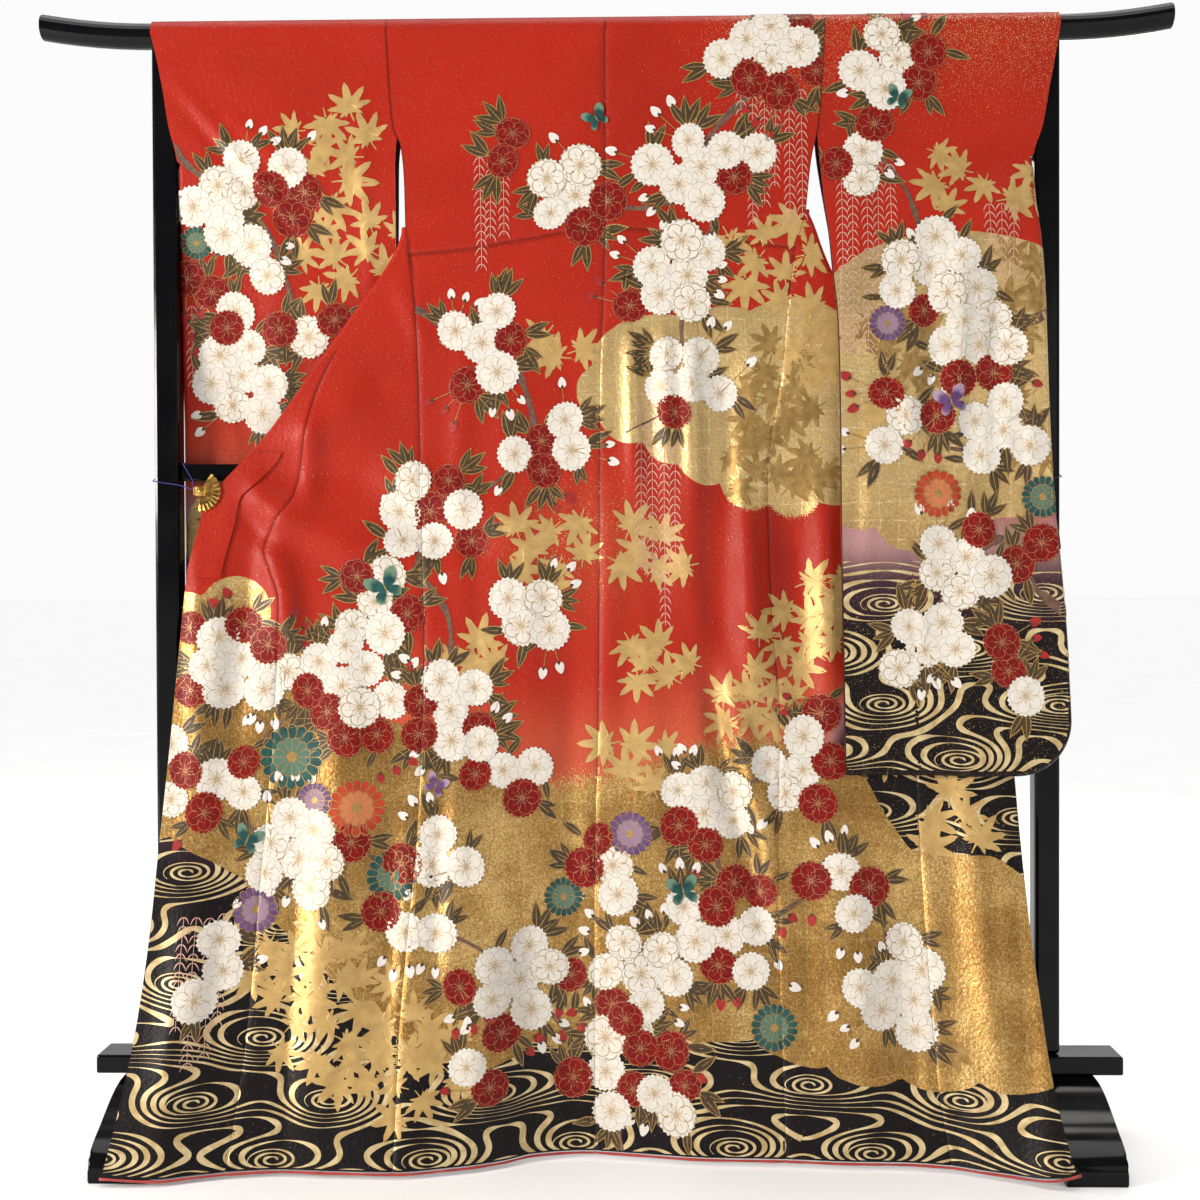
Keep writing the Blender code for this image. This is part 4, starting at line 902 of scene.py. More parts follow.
def sleeve_inner_reach(side, z):
    """Reach of a sleeve's inner edge: sewn to the body at the top, free lower down."""
    seam = side_seam[side](z) + HALF_SEAM
    return np.where(z >= SEWN_TO - 1e-9, seam, np.maximum(sleeve_inner[side](z), seam))


def dye(mesh):
    """Store the ground on every point of a sheet, darkened along the seams by painted shade."""
    count = len(mesh.vertices)
    places = np.empty(count * 3, np.float32)
    mesh.vertices.foreach_get("co", places)
    x = places.reshape(-1, 3)[:, 0].astype(float)
    along = np.empty(count, np.float32)
    mesh.attributes["along"].data.foreach_get("value", along)
    s = along.astype(float)
    side = mesh.name.split("_")[-1]
    values = sleeve_ground(side, x, s) if "sleeve" in mesh.name else body_ground(x, s)
    # The seams' painted shade is multiplied into the stored ground colour
    shaded = values[0] * (1 - seam_shade(mesh.name, x, s))[:, None]
    colours = np.concatenate([shaded, np.ones((count, 1))], axis=1)
    mesh.attributes.new("ground", "FLOAT_COLOR", "POINT").data.foreach_set("color", colours.ravel())
    for name, value in zip(("foil", "softness", "dust"), values[1:]):
        mesh.attributes.new(name, "FLOAT", "POINT").data.foreach_set("value", np.asarray(value, float))


print("gold field, middle of its edges:", *(round(float(edge(0.0)), 2) for edge in (gold_top, gold_low)))

# %% [markdown]
# ## Dyed silk with gold leaf
# The silk is a heavy crepe: a fine uneven weave, a soft gloss and a slight glow where it turns away,
# which the sheen gives. Gold leaf is glued on in the cloud shapes, so it follows the weave but shines
# like metal. It is worn thinner in places, and pale lines of a woven check show through it. Gold dust
# is single grains, so it comes from a very fine noise that is cut high where the dust is thin.

# %% Make the silk
def weave_bump(finish):
    """Crepe: fine threads both ways over small soft pebbles."""
    threads = finish.sum("ADD", finish.noise(900, stretch=(1, 1, 0.25)),
                         finish.noise(900, stretch=(0.25, 1, 1)))
    pebbles = finish.sum("MULTIPLY", finish.noise(190, detail=1), 1.6)
    finish.bump(finish.sum("ADD", finish.sum("MULTIPLY", threads, 0.5), pebbles), 0.00042)


def leaf_colour(finish):
    """Gold leaf: broad bright and dull patches, and fine glitter."""
    patches = finish.noise(9, detail=3, roughness=0.6)
    glitter = finish.noise(330, detail=3, roughness=0.7)
    glow = finish.sum("ADD", finish.sum("MULTIPLY", patches, 0.45), finish.sum("MULTIPLY", glitter, 0.55))
    dull = finish.mix(finish.spread(glow, 0.36, 0.5), screen(128, 90, 42), screen(172, 132, 72))
    worn = finish.mix(finish.spread(glow, 0.5, 0.64), dull, screen(226, 192, 126))
    return finish.mix(finish.spread(finish.height(), 0.72, 0.98, 0.0, 0.42), worn, screen(238, 212, 154))


def check_lines(finish, pitch=0.0265, width=0.07):
    """Pale wavy lines of a woven check, 0 to 1."""
    wobble = finish.sum("MULTIPLY", finish.noise(26, detail=1), 0.01)
    lines = []
    for axis in ("X", "Z"):
        place = finish.sum("ADD", finish.height(axis), wobble)
        wave = finish.sum("FRACT", finish.sum("DIVIDE", finish.sum("ADD", place, 3.0), pitch))
        lines.append(finish.spread(wave, width, width * 0.4))
    broken = finish.spread(finish.noise(150), 0.4, 0.62)
    return finish.sum("MULTIPLY", finish.sum("MAXIMUM", *lines), broken)


def silk_finish():
    finish = Finish("dyed_silk")
    weave_bump(finish)
    shade = finish.noise(5, detail=3)
    # The stored ground colour carries the seams' painted shade
    darker = finish.mix(1.0, finish.attribute("ground", "Color"), screen(232, 228, 228))
    darker.node.blend_type = "MULTIPLY"
    ground = finish.mix(finish.spread(shade, 0.3, 0.7), darker, finish.attribute("ground", "Color"))
    grain = finish.sum("SUBTRACT", finish.noise(520, detail=1), 0.5)
    edge = finish.sum("MULTIPLY", grain, finish.attribute("softness"))
    wobble = finish.sum("MULTIPLY", finish.sum("SUBTRACT", finish.noise(40), 0.5), 0.004)
    depth = finish.sum("ADD", finish.sum("ADD", finish.attribute("foil"), edge), wobble)
    leaf = finish.spread(depth, -0.0004, 0.0004)
    dust = finish.sum("MULTIPLY", finish.attribute("dust"), 0.16)
    specks = finish.sum("ADD", finish.noise(620, detail=1), dust)
    gold = finish.sum("MAXIMUM", leaf, finish.spread(specks, 0.745, 0.775))
    strength = finish.spread(finish.height(), 0.6, 0.85, 0.22, 0.75)
    lined = finish.mix(finish.sum("MULTIPLY", check_lines(finish), strength), leaf_colour(finish),
                       screen(240, 220, 174))
    colour = finish.mix(gold, ground, lined)
    rough = finish.sum("ADD", finish.spread(finish.noise(30), 0.3, 0.7, 0.4, 0.5),
                       finish.sum("MULTIPLY", gold, -0.06))
    return finish.set(Base_Color=colour, Roughness=rough, Metallic=finish.sum("MULTIPLY", gold, 0.66),
                      Sheen_Weight=0.02, Sheen_Roughness=0.4, Specular_IOR_Level=0.22)


silk = silk_finish()
lining = plain_finish("plum_lining", screen(96, 40, 50), screen(80, 31, 42), 0.55, scale=40, grain=1200,
                      Sheen_Weight=0.25)
red_lining = plain_finish("red_lining", screen(176, 48, 34), screen(156, 38, 28), 0.55, scale=60, grain=1200,
                          Sheen_Weight=0.25)
print("silk made of", len(silk.node_tree.nodes), "nodes")

# %% [markdown]
# ## The two back panels
# Each half of the back is one straight length of silk, sewn to the other down the middle and to a front
# along its side. It hangs from the bar without a cut, so the grid runs up to the bar and on over it.

# %% Lay the backs
def hand_over(sheet, kind, side):
    """Make a sheet of lined silk that stands for the solid of the same kind and side."""
    thing = own(sheet.shell(f"silk_{kind}_{side}", (silk, lining)), f"{kind}_{side}")
    print(kind, side, "has", len(thing.data.polygons), "faces")


def back_depth(x, z):
    """The body's depth with the tuck: a ledge that fades upwards, over a thin dip."""
    above = z - tuck_line(x)
    ledge = 0.0009 * np.exp(-np.abs(above) / 0.02) * (above >= 0) - 0.0012 * np.exp(-(above / 0.0012) ** 2)
    return body_depth(x, z) - ledge


for side in SIDES:
    sign = SIGN[side]
    sheet = Sheet()
    rows = rows_from(BAR_HEIGHT, 0.0)
    x = columns(centre_seam(rows) + sign * HALF_SEAM, sign * (side_seam[side](rows) - HALF_SEAM), 0.29)
    window = np.exp(-((rows[:, None] - TUCK) / 0.05) ** 2)
    z = height_at(rows[:, None], x) + (tuck_line(x) - TUCK) * window
    sheet.weave(x, back_depth(x, z), z, z, (0, -1, 0))
    top_x, top_y, top_z, beyond = over_bar(x[0])
    sheet.weave(top_x, top_y, top_z, BAR_HEIGHT + beyond, (0, 0, 1))
    hand_over(sheet, "back", side)

# %% [markdown]
# ## The two fronts
# On the stand the fronts are swung out beside the back and held there. Each starts behind the bar, comes
# round a soft fold at the outer line, and hangs beside the back down to the hem. Three flat grids and
# one half turn make it.

# %% Lay the fronts
for side in SIDES:
    sheet = Sheet()
    rear_rows = rows_from(BAR_HEIGHT - 2 * HALF_SEAM, OKUMI_TURN + HALF_SEAM)
    outer = np.where(rear_rows <= ARMPIT[side] + 1e-9, outer_reach(side, rear_rows),
                     side_seam[side](rear_rows) - HALF_SEAM)
    sewn, free = collar_reaches(side, rear_rows)
    inner = np.where(rear_rows > OKUMI_TOP, sewn, rear_okumi_reach(side, rear_rows) + HALF_SEAM)
    rear = lay(sheet, rear_depth, side, rear_rows, outer, inner, 0.24, 1.0)
    upper = rear_rows > OKUMI_TOP
    lay(sheet, rear_depth, side, rear_rows[upper], sewn[upper], free[upper], 0.05, 1.0)
    front_rows = rows_from(ARMPIT[side], 0.0)
    start = side_seam[side](front_rows) + HALF_SEAM
    end = np.where(front_rows > OKUMI_TURN, outer_reach(side, front_rows),
                   front_okumi_reach(side, front_rows) - HALF_SEAM)
    front = lay(sheet, body_depth, side, front_rows, start, np.maximum(end, start + TIP_WIDTH), 0.21, -1.0)
    turning = rows_from(ARMPIT[side], OKUMI_TURN + HALF_SEAM)
    join_edges(sheet, side, front[:len(turning), -1], rear[-len(turning):, 0])
    hand_over(sheet, "front", side)

# %% [markdown]
# ## The overlap panels
# An overlap panel (okumi) is the narrow strip that widens each front. It starts in a point high behind
# the bar, comes round the same fold lower down, and reaches the hem as the outermost strip.

# %% Lay the overlap panels
for side in SIDES:
    sheet = Sheet()
    rear_rows = rows_from(OKUMI_TOP - HALF_SEAM, CLIP_HEIGHT)
    outer = np.where(rear_rows > OKUMI_TURN, rear_okumi_reach(side, rear_rows) - HALF_SEAM,
                     outer_reach(side, rear_rows))
    sewn, free = collar_reaches(side, rear_rows)
    rear = lay(sheet, rear_depth, side, rear_rows, outer, sewn, 0.08, 1.0)
    lay(sheet, rear_depth, side, rear_rows, sewn, free, 0.04, 1.0)
    front_rows = rows_from(OKUMI_TURN - HALF_SEAM, 0.0)
    front = lay(sheet, body_depth, side, front_rows, front_okumi_reach(side, front_rows) + HALF_SEAM,
                outer_reach(side, front_rows), 0.15, -1.0)
    turning = rows_from(OKUMI_TURN - HALF_SEAM, CLIP_HEIGHT)
    join_edges(sheet, side, front[:len(turning), -1], rear[-len(turning):, 0])
    hand_over(sheet, "okumi", side)

# %% [markdown]
# ## The collar
# The collar is a doubled band, so it is thicker than the rest. It lies on the free edges behind the bar,
# joined across the neck, and its two lower ends come out beside the clips.

# %% Lay the collar and its ends
COLLAR_THICKNESS = 0.0022
NECK_BAND_LOW = 1.553

sheet = Sheet()
rows = rows_from(BAR_HEIGHT - 2 * HALF_SEAM, COLLAR_STOP + 0.001)
neck_edges = {}
for side in SIDES:
    sewn, free = collar_reaches(side, rows)
    band = lay(sheet, rear_depth, side, rows, sewn, free, 0.05, 1.0, lift=COLLAR_LIFT)
    neck_edges[side] = band[:, -1, 0]
neck_rows = rows[rows >= NECK_BAND_LOW]
neck_x = columns(neck_edges["left"][:len(neck_rows)], neck_edges["right"][:len(neck_rows)], 0.08)
neck_z = neck_rows[:, None] + 0 * neck_x
sheet.weave(neck_x, rear_depth(neck_x, neck_z) + COLLAR_LIFT, neck_z, neck_z, (0, 1, 0))
own(sheet.shell("silk_collar", (silk, silk), thickness=COLLAR_THICKNESS), "collar")

for side in SIDES:
    sheet = Sheet()
    rows = rows_from(COLLAR_END_TOP, COLLAR_END)
    start = front_okumi_reach(side, rows) + HALF_SEAM
    end = outer_reach(side, rows)
    strip = np.minimum(COLLAR_WIDTH, 0.6 * (end - start))
    lay(sheet, body_depth, side, rows, end - strip, end, 0.05, -1.0, lift=COLLAR_LIFT)
    thing = sheet.shell(f"silk_collar_end_{side}", (silk, silk), thickness=COLLAR_THICKNESS)
    own(thing, f"collar_end_{side}")

# %% [markdown]
# ## The long sleeves
# A furisode's sleeve is a deep flat bag: one length of silk folded over the arm, sewn up below the wrist
# opening and along the bottom, with a rounded lower corner. So it is two walls that meet over the bar,
# and a half turn that follows the outer edge, the corner and the bottom in one run.

# %% Lay the sleeves
REAR_WALL_REACH = 0.6125


def sleeve_outer_reach(side, z):
    rise = np.clip((SLEEVE_LOW + SLEEVE_CORNER - z) / SLEEVE_CORNER, 0.0, 1.0)
    return sleeve_outer[side](z) - SLEEVE_CORNER * (1 - np.sqrt(1 - rise * rise))


corner = SLEEVE_LOW + SLEEVE_CORNER * (1 - np.cos(np.radians(np.linspace(86, 4, 15))))
sleeve_rows = heights[(heights > SLEEVE_LOW + SLEEVE_CORNER)]
sleeve_rows = sleeve_rows[np.concatenate([[True], np.diff(sleeve_rows) < -0.001])]
sleeve_rows = np.concatenate([sleeve_rows, corner, [SLEEVE_LOW]])
shut = sleeve_rows <= CUFF_END + 1e-9

for side in SIDES:
    sign = SIGN[side]
    sheet = Sheet()
    walls = {}
    for wall, towards in (("front", -1.0), ("rear", 1.0)):
        outer = sleeve_outer_reach(side, sleeve_rows) - np.where(shut, SLEEVE_ROUNDING, 0.0)
        if wall == "rear":
            below_bar = np.clip((BAR_HEIGHT - sleeve_rows) / 0.045, 0, 1)
            tucked_in = outer + (np.minimum(outer, REAR_WALL_REACH) - outer) * below_bar
            outer = np.where(shut, outer, tucked_in)
        x = sign * columns(sleeve_inner_reach(side, sleeve_rows), outer, 0.31)
        z = sleeve_rows[:, None] + 0 * x
        y = sleeve_depth(side, wall, x, z)
        sheet.weave(x, y, z, z, (0, towards, 0))
        walls[wall] = np.stack([x, y, z], -1)
    top_x, top_y, top_z, beyond = over_bar(walls["front"][0, :, 0])
    sheet.weave(top_x, top_y, top_z, BAR_HEIGHT + np.minimum(beyond, math.pi * BAR_WRAP - beyond), (0, 0, 1))
    edges = {wall: np.concatenate([points[shut][:, -1], points[-1, -2::-1]])
             for wall, points in walls.items()}
    run = np.gradient(edges["front"], axis=0)
    outward = np.stack([-sign * run[:, 2], 0 * run[:, 0], sign * run[:, 0]], -1)
    outward /= np.linalg.norm(outward, axis=1, keepdims=True)
    ring = half_turn(edges["front"], edges["rear"], outward)
    sheet.weave(ring[..., 0], ring[..., 1], ring[..., 2], ring[..., 2], (sign, 0, -1))
    hand_over(sheet, "sleeve", side)

# %% [markdown]
# ## The padded hem
# The lining is cut longer than the silk and rolled forward over a little wadding, so a thin red roll
# shows all along the hem. It is a tube swept under the edge of the silk.

# %% Sweep the hem roll
ROLL_RADIUS = 0.002
x = np.linspace(-outer_line["left"](0.0), outer_line["right"](0.0), 230)[:, None]
z = hem_height(x) - SHELL / 2 - ROLL_RADIUS - 0.0006
y = body_depth(x, z)
angles = np.linspace(0, 2 * math.pi, 11)[None, :]
swell = ROLL_RADIUS * (1 + 0.1 * np.sin(x * 61) + 0.06 * np.sin(x * 173))
ring_y = y + swell * np.cos(angles)
ring_z = z + swell * 0.9 * np.sin(angles)
roll = bpy.data.meshes.new("hem_lining_roll")
sheet = Sheet()
sheet.weave(x + 0 * angles, ring_y, ring_z, ring_z, (0, 0, 0))
points = sheet.points[0] + np.array([0.0, POST_PLANE, 0.0])
roll.from_pydata(points.tolist(), [], sheet.faces[0].tolist())
tube = bmesh.new()
tube.from_mesh(roll)
bmesh.ops.remove_doubles(tube, verts=tube.verts, dist=0.00001)
bmesh.ops.holes_fill(tube, edges=tube.edges, sides=12)
bmesh.ops.recalc_face_normals(tube, faces=tube.faces)
tube.to_mesh(roll)
tube.free()
roll.shade_smooth()
roll.materials.append(red_lining)
own(bpy.data.objects.new("hem_lining_roll", roll), "hem_roll", slot="lining")
print("hem roll:", len(roll.polygons), "faces")

# %% [markdown]
# ## Printing on the cloth
# The flowers are not part of the ground: they are painted, stitched and couched on top of it, and stand
# a little proud. So each is a thin flat shape of its own, cut to the panel that it lies on and laid on
# that panel's surface. First come the panels, as places where x and the length along the cloth say where
# a point lies, and how far it is inside the panel's seams.

# %% List the panels
Panel = namedtuple("Panel", "group depth towards left right low high lift")


def sleeve_front(side):
    """The front wall, carried a little way round the soft outer edge."""
    def depth(x, z):
        flat = sleeve_outer_reach(side, z) - SLEEVE_ROUNDING
        turn = np.clip((np.abs(x) - flat) / SLEEVE_ROUNDING, 0.0, 0.9) * (z < CUFF_END) * (z > 0.63)
        front = sleeve_depth(side, "front", x, z)
        middle = (front + sleeve_depth(side, "rear", x, z)) / 2
        return middle + (front - middle) * np.sqrt(1 - turn * turn)
    return depth


def sleeve_rear(side):
    return lambda x, z: sleeve_depth(side, "rear", x, z)


def constant(value):
    return lambda place: value + 0 * place


PRINT_REACH_BEHIND = 0.6075
PANELS = []


def list_panels(side, sign):
    """Add one side's panels, with their edges as functions of the place along the cloth."""
    def seam(s):
        return sign * side_seam[side](s)

    def okumi(s):
        return sign * np.where(s < OKUMI_TURN, front_okumi_reach(side, s), outer_reach(side, s))

    def outer(s):
        return sign * outer_reach(side, s)

    def strip(s):
        reach = outer_reach(side, s)
        return sign * (reach - np.minimum(COLLAR_WIDTH, 0.6 * (reach - front_okumi_reach(side, s))))

    def sleeve_start(s):
        return sign * sleeve_inner_reach(side, s)

    def sleeve_end(s):
        spare = np.where(s <= CUFF_END, np.where(s > 0.64, 0.0008, SLEEVE_ROUNDING), 0.0008)
        return sign * (sleeve_outer_reach(side, s) - spare)

    def sleeve_rear_end(s):
        return sign * np.minimum(sleeve_outer_reach(side, s) - SLEEVE_ROUNDING, PRINT_REACH_BEHIND)

    def rear_start(s):
        return sign * collar_reaches(side, s)[0]

    def rear_end(s):
        return sign * np.where(s <= ARMPIT[side], outer_reach(side, s), side_seam[side](s))

    over = BAR_HEIGHT + 1.4 * BAR_WRAP
    rows = (("body", back_depth, -1.0, centre_seam, seam, hem_height, over, 0.0),
            ("body", body_depth, -1.0, seam, okumi, hem_height, ARMPIT[side] - 0.004, 0.0),
            ("body", body_depth, -1.0, okumi, outer, hem_height, OKUMI_TURN, 0.0),
            ("body", body_depth, -1.0, strip, outer, constant(COLLAR_END), COLLAR_END_TOP,
             COLLAR_LIFT + 0.0006),
            (f"sleeve_{side}", sleeve_front(side), -1.0, sleeve_start, sleeve_end, constant(SLEEVE_LOW),
             over, 0.0),
            (f"rear_sleeve_{side}", sleeve_rear(side), 1.0, sleeve_start, sleeve_rear_end,
             constant(SLEEVE_LOW), BAR_HEIGHT - 0.002, 0.0),
            ("rear_body", rear_depth, 1.0, rear_start, rear_end, constant(COLLAR_STOP),
             BAR_HEIGHT - 0.002, 0.0))
    for group, depth, towards, near, far, low, high, lift in rows:
        left, right = (far, near) if sign < 0 else (near, far)
        PANELS.append(Panel(group, depth, towards, left, right, low, high, lift))


for side, sign in SIGN.items():
    list_panels(side, sign)
print("panels to print on:", len(PANELS))

# %% [markdown]
# A shape that runs over a seam has to end there. Each of its triangles is kept, dropped or cut along the
# panel's edge, where the measure of how far inside it lies passes zero. Then every point moves to the
# panel's surface and is lifted off it along the normal, by a height of its own for each colour.

# %% Cut flat shapes to a panel and lay them on it
MARGIN = 0.0004


def inside_panel(panel, x, s):
    """How far inside a panel's edges each place lies, negative outside."""
    z = np.clip(s, 0.0, BAR_HEIGHT)
    return np.minimum.reduce([x - panel.left(z), panel.right(z) - x, s - panel.low(x) - 0.002,
                              panel.high - s]) - MARGIN


def cut(points, triangles, inside):
    """Keep what lies inside; points carry x, s, lift and tint, and new ones are made on the edge."""
    values = inside[triangles]
    keep = (values > 0).all(axis=1)
    partly = (values > 0).any(axis=1) & ~keep
    kept, fresh = [triangles[keep]], []
    number = len(points)
    for triangle in triangles[partly]:
        ring = []
        for a, b in zip(triangle, np.roll(triangle, -1)):
            if inside[a] > 0:
                ring.append(a)
            if (inside[a] > 0) != (inside[b] > 0):
                share = inside[a] / (inside[a] - inside[b])
                fresh.append(points[a] + (points[b] - points[a]) * share)
                ring.append(number)
                number += 1
        kept.append(np.array([(ring[0], ring[i], ring[i + 1]) for i in range(1, len(ring) - 1)]))
    if fresh:
        points = np.concatenate([points, np.array(fresh)])
    triangles = np.concatenate(kept)
    used, triangles = np.unique(triangles, return_inverse=True)
    return points[used], triangles.reshape(-1, 3)


def on_panel(panel, x, s, lift):
    """Points on a panel's surface, raised by a lift along its normal."""
    z = np.minimum(s, BAR_HEIGHT)
    step = 0.0015
    slope_x = (panel.depth(x + step, z) - panel.depth(x - step, z)) / (2 * step)
    slope_z = (panel.depth(x, z) - panel.depth(x, z - step)) / step
    normal = np.stack([-slope_x, 1.0 + 0 * x, -slope_z], -1) * panel.towards
    normal /= np.linalg.norm(normal, axis=1, keepdims=True)
    place = np.stack([x, panel.depth(x, z), z], -1)
    angle = np.maximum(s - BAR_HEIGHT, 0.0) / BAR_WRAP
    round_bar = np.stack([x, -np.cos(angle) * BAR_WRAP, BAR_HEIGHT + np.sin(angle) * BAR_WRAP], -1)
    round_normal = np.stack([0 * x, -np.cos(angle), np.sin(angle)], -1)
    above = (s > BAR_HEIGHT)[:, None]
    place = np.where(above, round_bar, place)
    normal = np.where(above, round_normal, normal)
    return place + normal * (SHELL / 2 + panel.lift + lift)[:, None] + np.array([0.0, POST_PLANE, 0.0])


class Ink:
    """One colour of print: flat triangles by group of panels, made into one object at the end."""

    def __init__(self, name, material):
        self.name = name
        self.material = material
        self.shapes = {}

    def add(self, group, points, triangles, lift, tint=0.0):
        """Add a flat shape; points are rows of x and s."""
        full = np.column_stack([points, np.broadcast_to(lift, len(points)),
                                np.broadcast_to(tint, len(points))])
        self.shapes.setdefault(group, []).append((full, np.asarray(triangles)))

    def stamp(self, group, shape, where, size, turn, lift, squash=1.0, tint=0.0):
        """Add a copy of a flat shape, moved to its place."""
        self.add(group, placed(shape[0], where, size, turn, squash), shape[1], lift, tint)

    def lay(self, trim=None):
        """Cut every shape to its panels, lay it and make the object."""
        places, tints, faces = [], [], []
        total = 0
        for panel in PANELS:
            for_group = self.shapes.get(panel.group)
            if not for_group:
                continue
            offsets = np.cumsum([0] + [len(shape[0]) for shape in for_group])
            points = np.concatenate([shape[0] for shape in for_group])
            triangles = np.concatenate([shape[1] + n for shape, n in zip(for_group, offsets)])
            inside = inside_panel(panel, points[:, 0], points[:, 1])
            if trim is not None:
                inside = np.minimum(inside, trim(panel.group, points[:, 0], points[:, 1]))
            if not (inside > 0).any():
                continue
            points, triangles = cut(points, triangles, inside)
            place = on_panel(panel, points[:, 0], points[:, 1], points[:, 2])
            a, b, c = (place[triangles[:, k]] for k in range(3))
            toward = np.cross(b - a, c - a)[:, 1] * panel.towards
            triangles = np.where((toward < 0)[:, None], triangles[:, ::-1], triangles)
            places.append(place)
            tints.append(points[:, 3])
            faces.append(triangles + total)
            total += len(place)
        mesh = bpy.data.meshes.new(self.name)
        mesh.from_pydata(np.concatenate(places).tolist(), [], np.concatenate(faces).tolist())
        mesh.attributes.new("tint", "FLOAT", "POINT").data.foreach_set("value", np.concatenate(tints))
        mesh.shade_smooth()
        mesh.materials.append(self.material)
        own(bpy.data.objects.new(self.name, mesh))
        print(f"{self.name}:", len(mesh.polygons), "faces")


# %% [markdown]
# ## Flat shapes
# All motifs are made of two kinds of flat shape. A ribbon follows a path and may swell and taper like a
# brush stroke. A patch fills a closed outline with rings of triangles that shrink towards its middle,
# small enough to bend with the folds.

# %% Ribbons and patches
def ribbon(path, width):
    """Points and triangles of a stroke along a path; width is the full width at each point."""
    path = np.asarray(path, float)
    run = np.gradient(path, axis=0)
    run /= np.maximum(np.linalg.norm(run, axis=1, keepdims=True), 1e-9)
    square = np.stack([-run[:, 1], run[:, 0]], -1) * np.broadcast_to(width, len(path))[:, None] / 2
    points = np.empty((2 * len(path), 2))
    points[0::2] = path + square
    points[1::2] = path - square
    first = np.arange(len(path) - 1) * 2
    triangles = np.concatenate([np.stack([first, first + 1, first + 3], -1),
                                np.stack([first, first + 3, first + 2], -1)])
    return points, triangles


def patch(outline, shares=(1.0, 0.72, 0.45, 0.2), halve=(False, True, False, True)):
    """Fill an outline about its middle with rings; a ring may have half the points of the one outside it."""
    outline = np.asarray(outline, float)
    middle = outline.mean(axis=0)
    rings, triangles, points = [], [], []
    total = 0
    ring = outline
    for share, half in zip(shares, halve):
        if half:
            ring = ring[::2]
        points.append(middle + (ring - middle) * share)
        rings.append(np.arange(len(ring)) + total)
        total += len(ring)
    points.append(middle[None])
    for outside, within in zip(rings, rings[1:]):
        count = len(outside)
        for i in range(count):
            j = (i + 1) % count
            if len(within) == count:
                triangles += [(outside[i], outside[j], within[j]), (outside[i], within[j], within[i])]
            elif i % 2 == 0:
                triangles.append((outside[i], outside[j], within[i // 2]))
            else:
                after = (i // 2 + 1) % len(within)
                triangles += [(outside[i], outside[j], within[after]),
                              (outside[i], within[after], within[i // 2])]
    last = rings[-1]
    triangles += [(last[i], last[(i + 1) % len(last)], total) for i in range(len(last))]
    return np.concatenate(points), np.array(triangles)


def joined(*shapes):
    """Several flat shapes as one."""
    offsets = np.cumsum([0] + [len(points) for points, _ in shapes])
    return (np.concatenate([points for points, _ in shapes]),
            np.concatenate([triangles + n for (_, triangles), n in zip(shapes, offsets)]))


def placed(points, where, size=1.0, turn=0.0, squash=1.0):
    """Move a flat shape: squashed along its own second axis, scaled, turned and shifted."""
    c, s = math.cos(turn) * size, math.sin(turn) * size
    x, y = points[:, 0], points[:, 1] * squash
    return np.stack([x * c - y * s + where[0], x * s + y * c + where[1]], -1)


disc = [toward(angle) for angle in np.arange(40) / 40 * TAU]
print("a disc of 40 points has", len(patch(disc)[1]), "triangles")

# %% [markdown]
# ## Flowing water
# Kimono water is drawn as long parallel lines that part round eddies. The lines follow a flow: each is
# a level line of one smooth height map that rises steadily up the cloth and has an egg-shaped bump at
# every eddy. The strokes swell where the lines run steeply and lie far apart, which gives the bright
# crescents, and a spiral fills each eddy's middle. Marching squares, a way to walk a level line from
# grid cell to grid cell, finds them.

# %% Make the flow
WATER_PITCH = 0.026
WATER_GRID = 0.005
# Closed lines narrower than this are left out, because the spiral takes their place
SMALLEST_LOOP = 0.076
SPIRAL_TURNS = 2.6
SPIRAL_POINTS = 90
Eddy = namedtuple("Eddy", "across height strength reach rise")
chance = random.Random(5)


def eddies(left, right, low, high, step_x=0.212, step_z=0.074):
    """Eddies in staggered rows, none quite in its place."""
    found = []
    for row in range(int((high - low) / step_z) + 1):
        for place in range(int((right - left) / step_x) + 2):
            x = left + (place + 0.5 * (row % 2)) * step_x + chance.uniform(-0.018, 0.018)
            s = low + row * step_z + chance.uniform(-0.008, 0.008)
            found.append(Eddy(x, s, chance.uniform(6.2, 8.4),
                              chance.uniform(0.072, 0.1), chance.uniform(0.028, 0.036)))
    return found


def flow(found, x, s):
    value = s / WATER_PITCH + 0.8 * np.sin(x * 15.0 + s * 14.0)
    for eddy in found:
        value = value + eddy.strength * np.exp(-((x - eddy.across) / eddy.reach) ** 2
                                               - ((s - eddy.height) / eddy.rise) ** 2)
    return value


# %% [markdown]
# Marching squares looks at every grid cell whose corners lie on both sides of the level. The line enters
# and leaves such a cell through its sides, so walking from side to side and from cell to cell gives the
# whole line. A little smoothing then takes out the grid's corners.

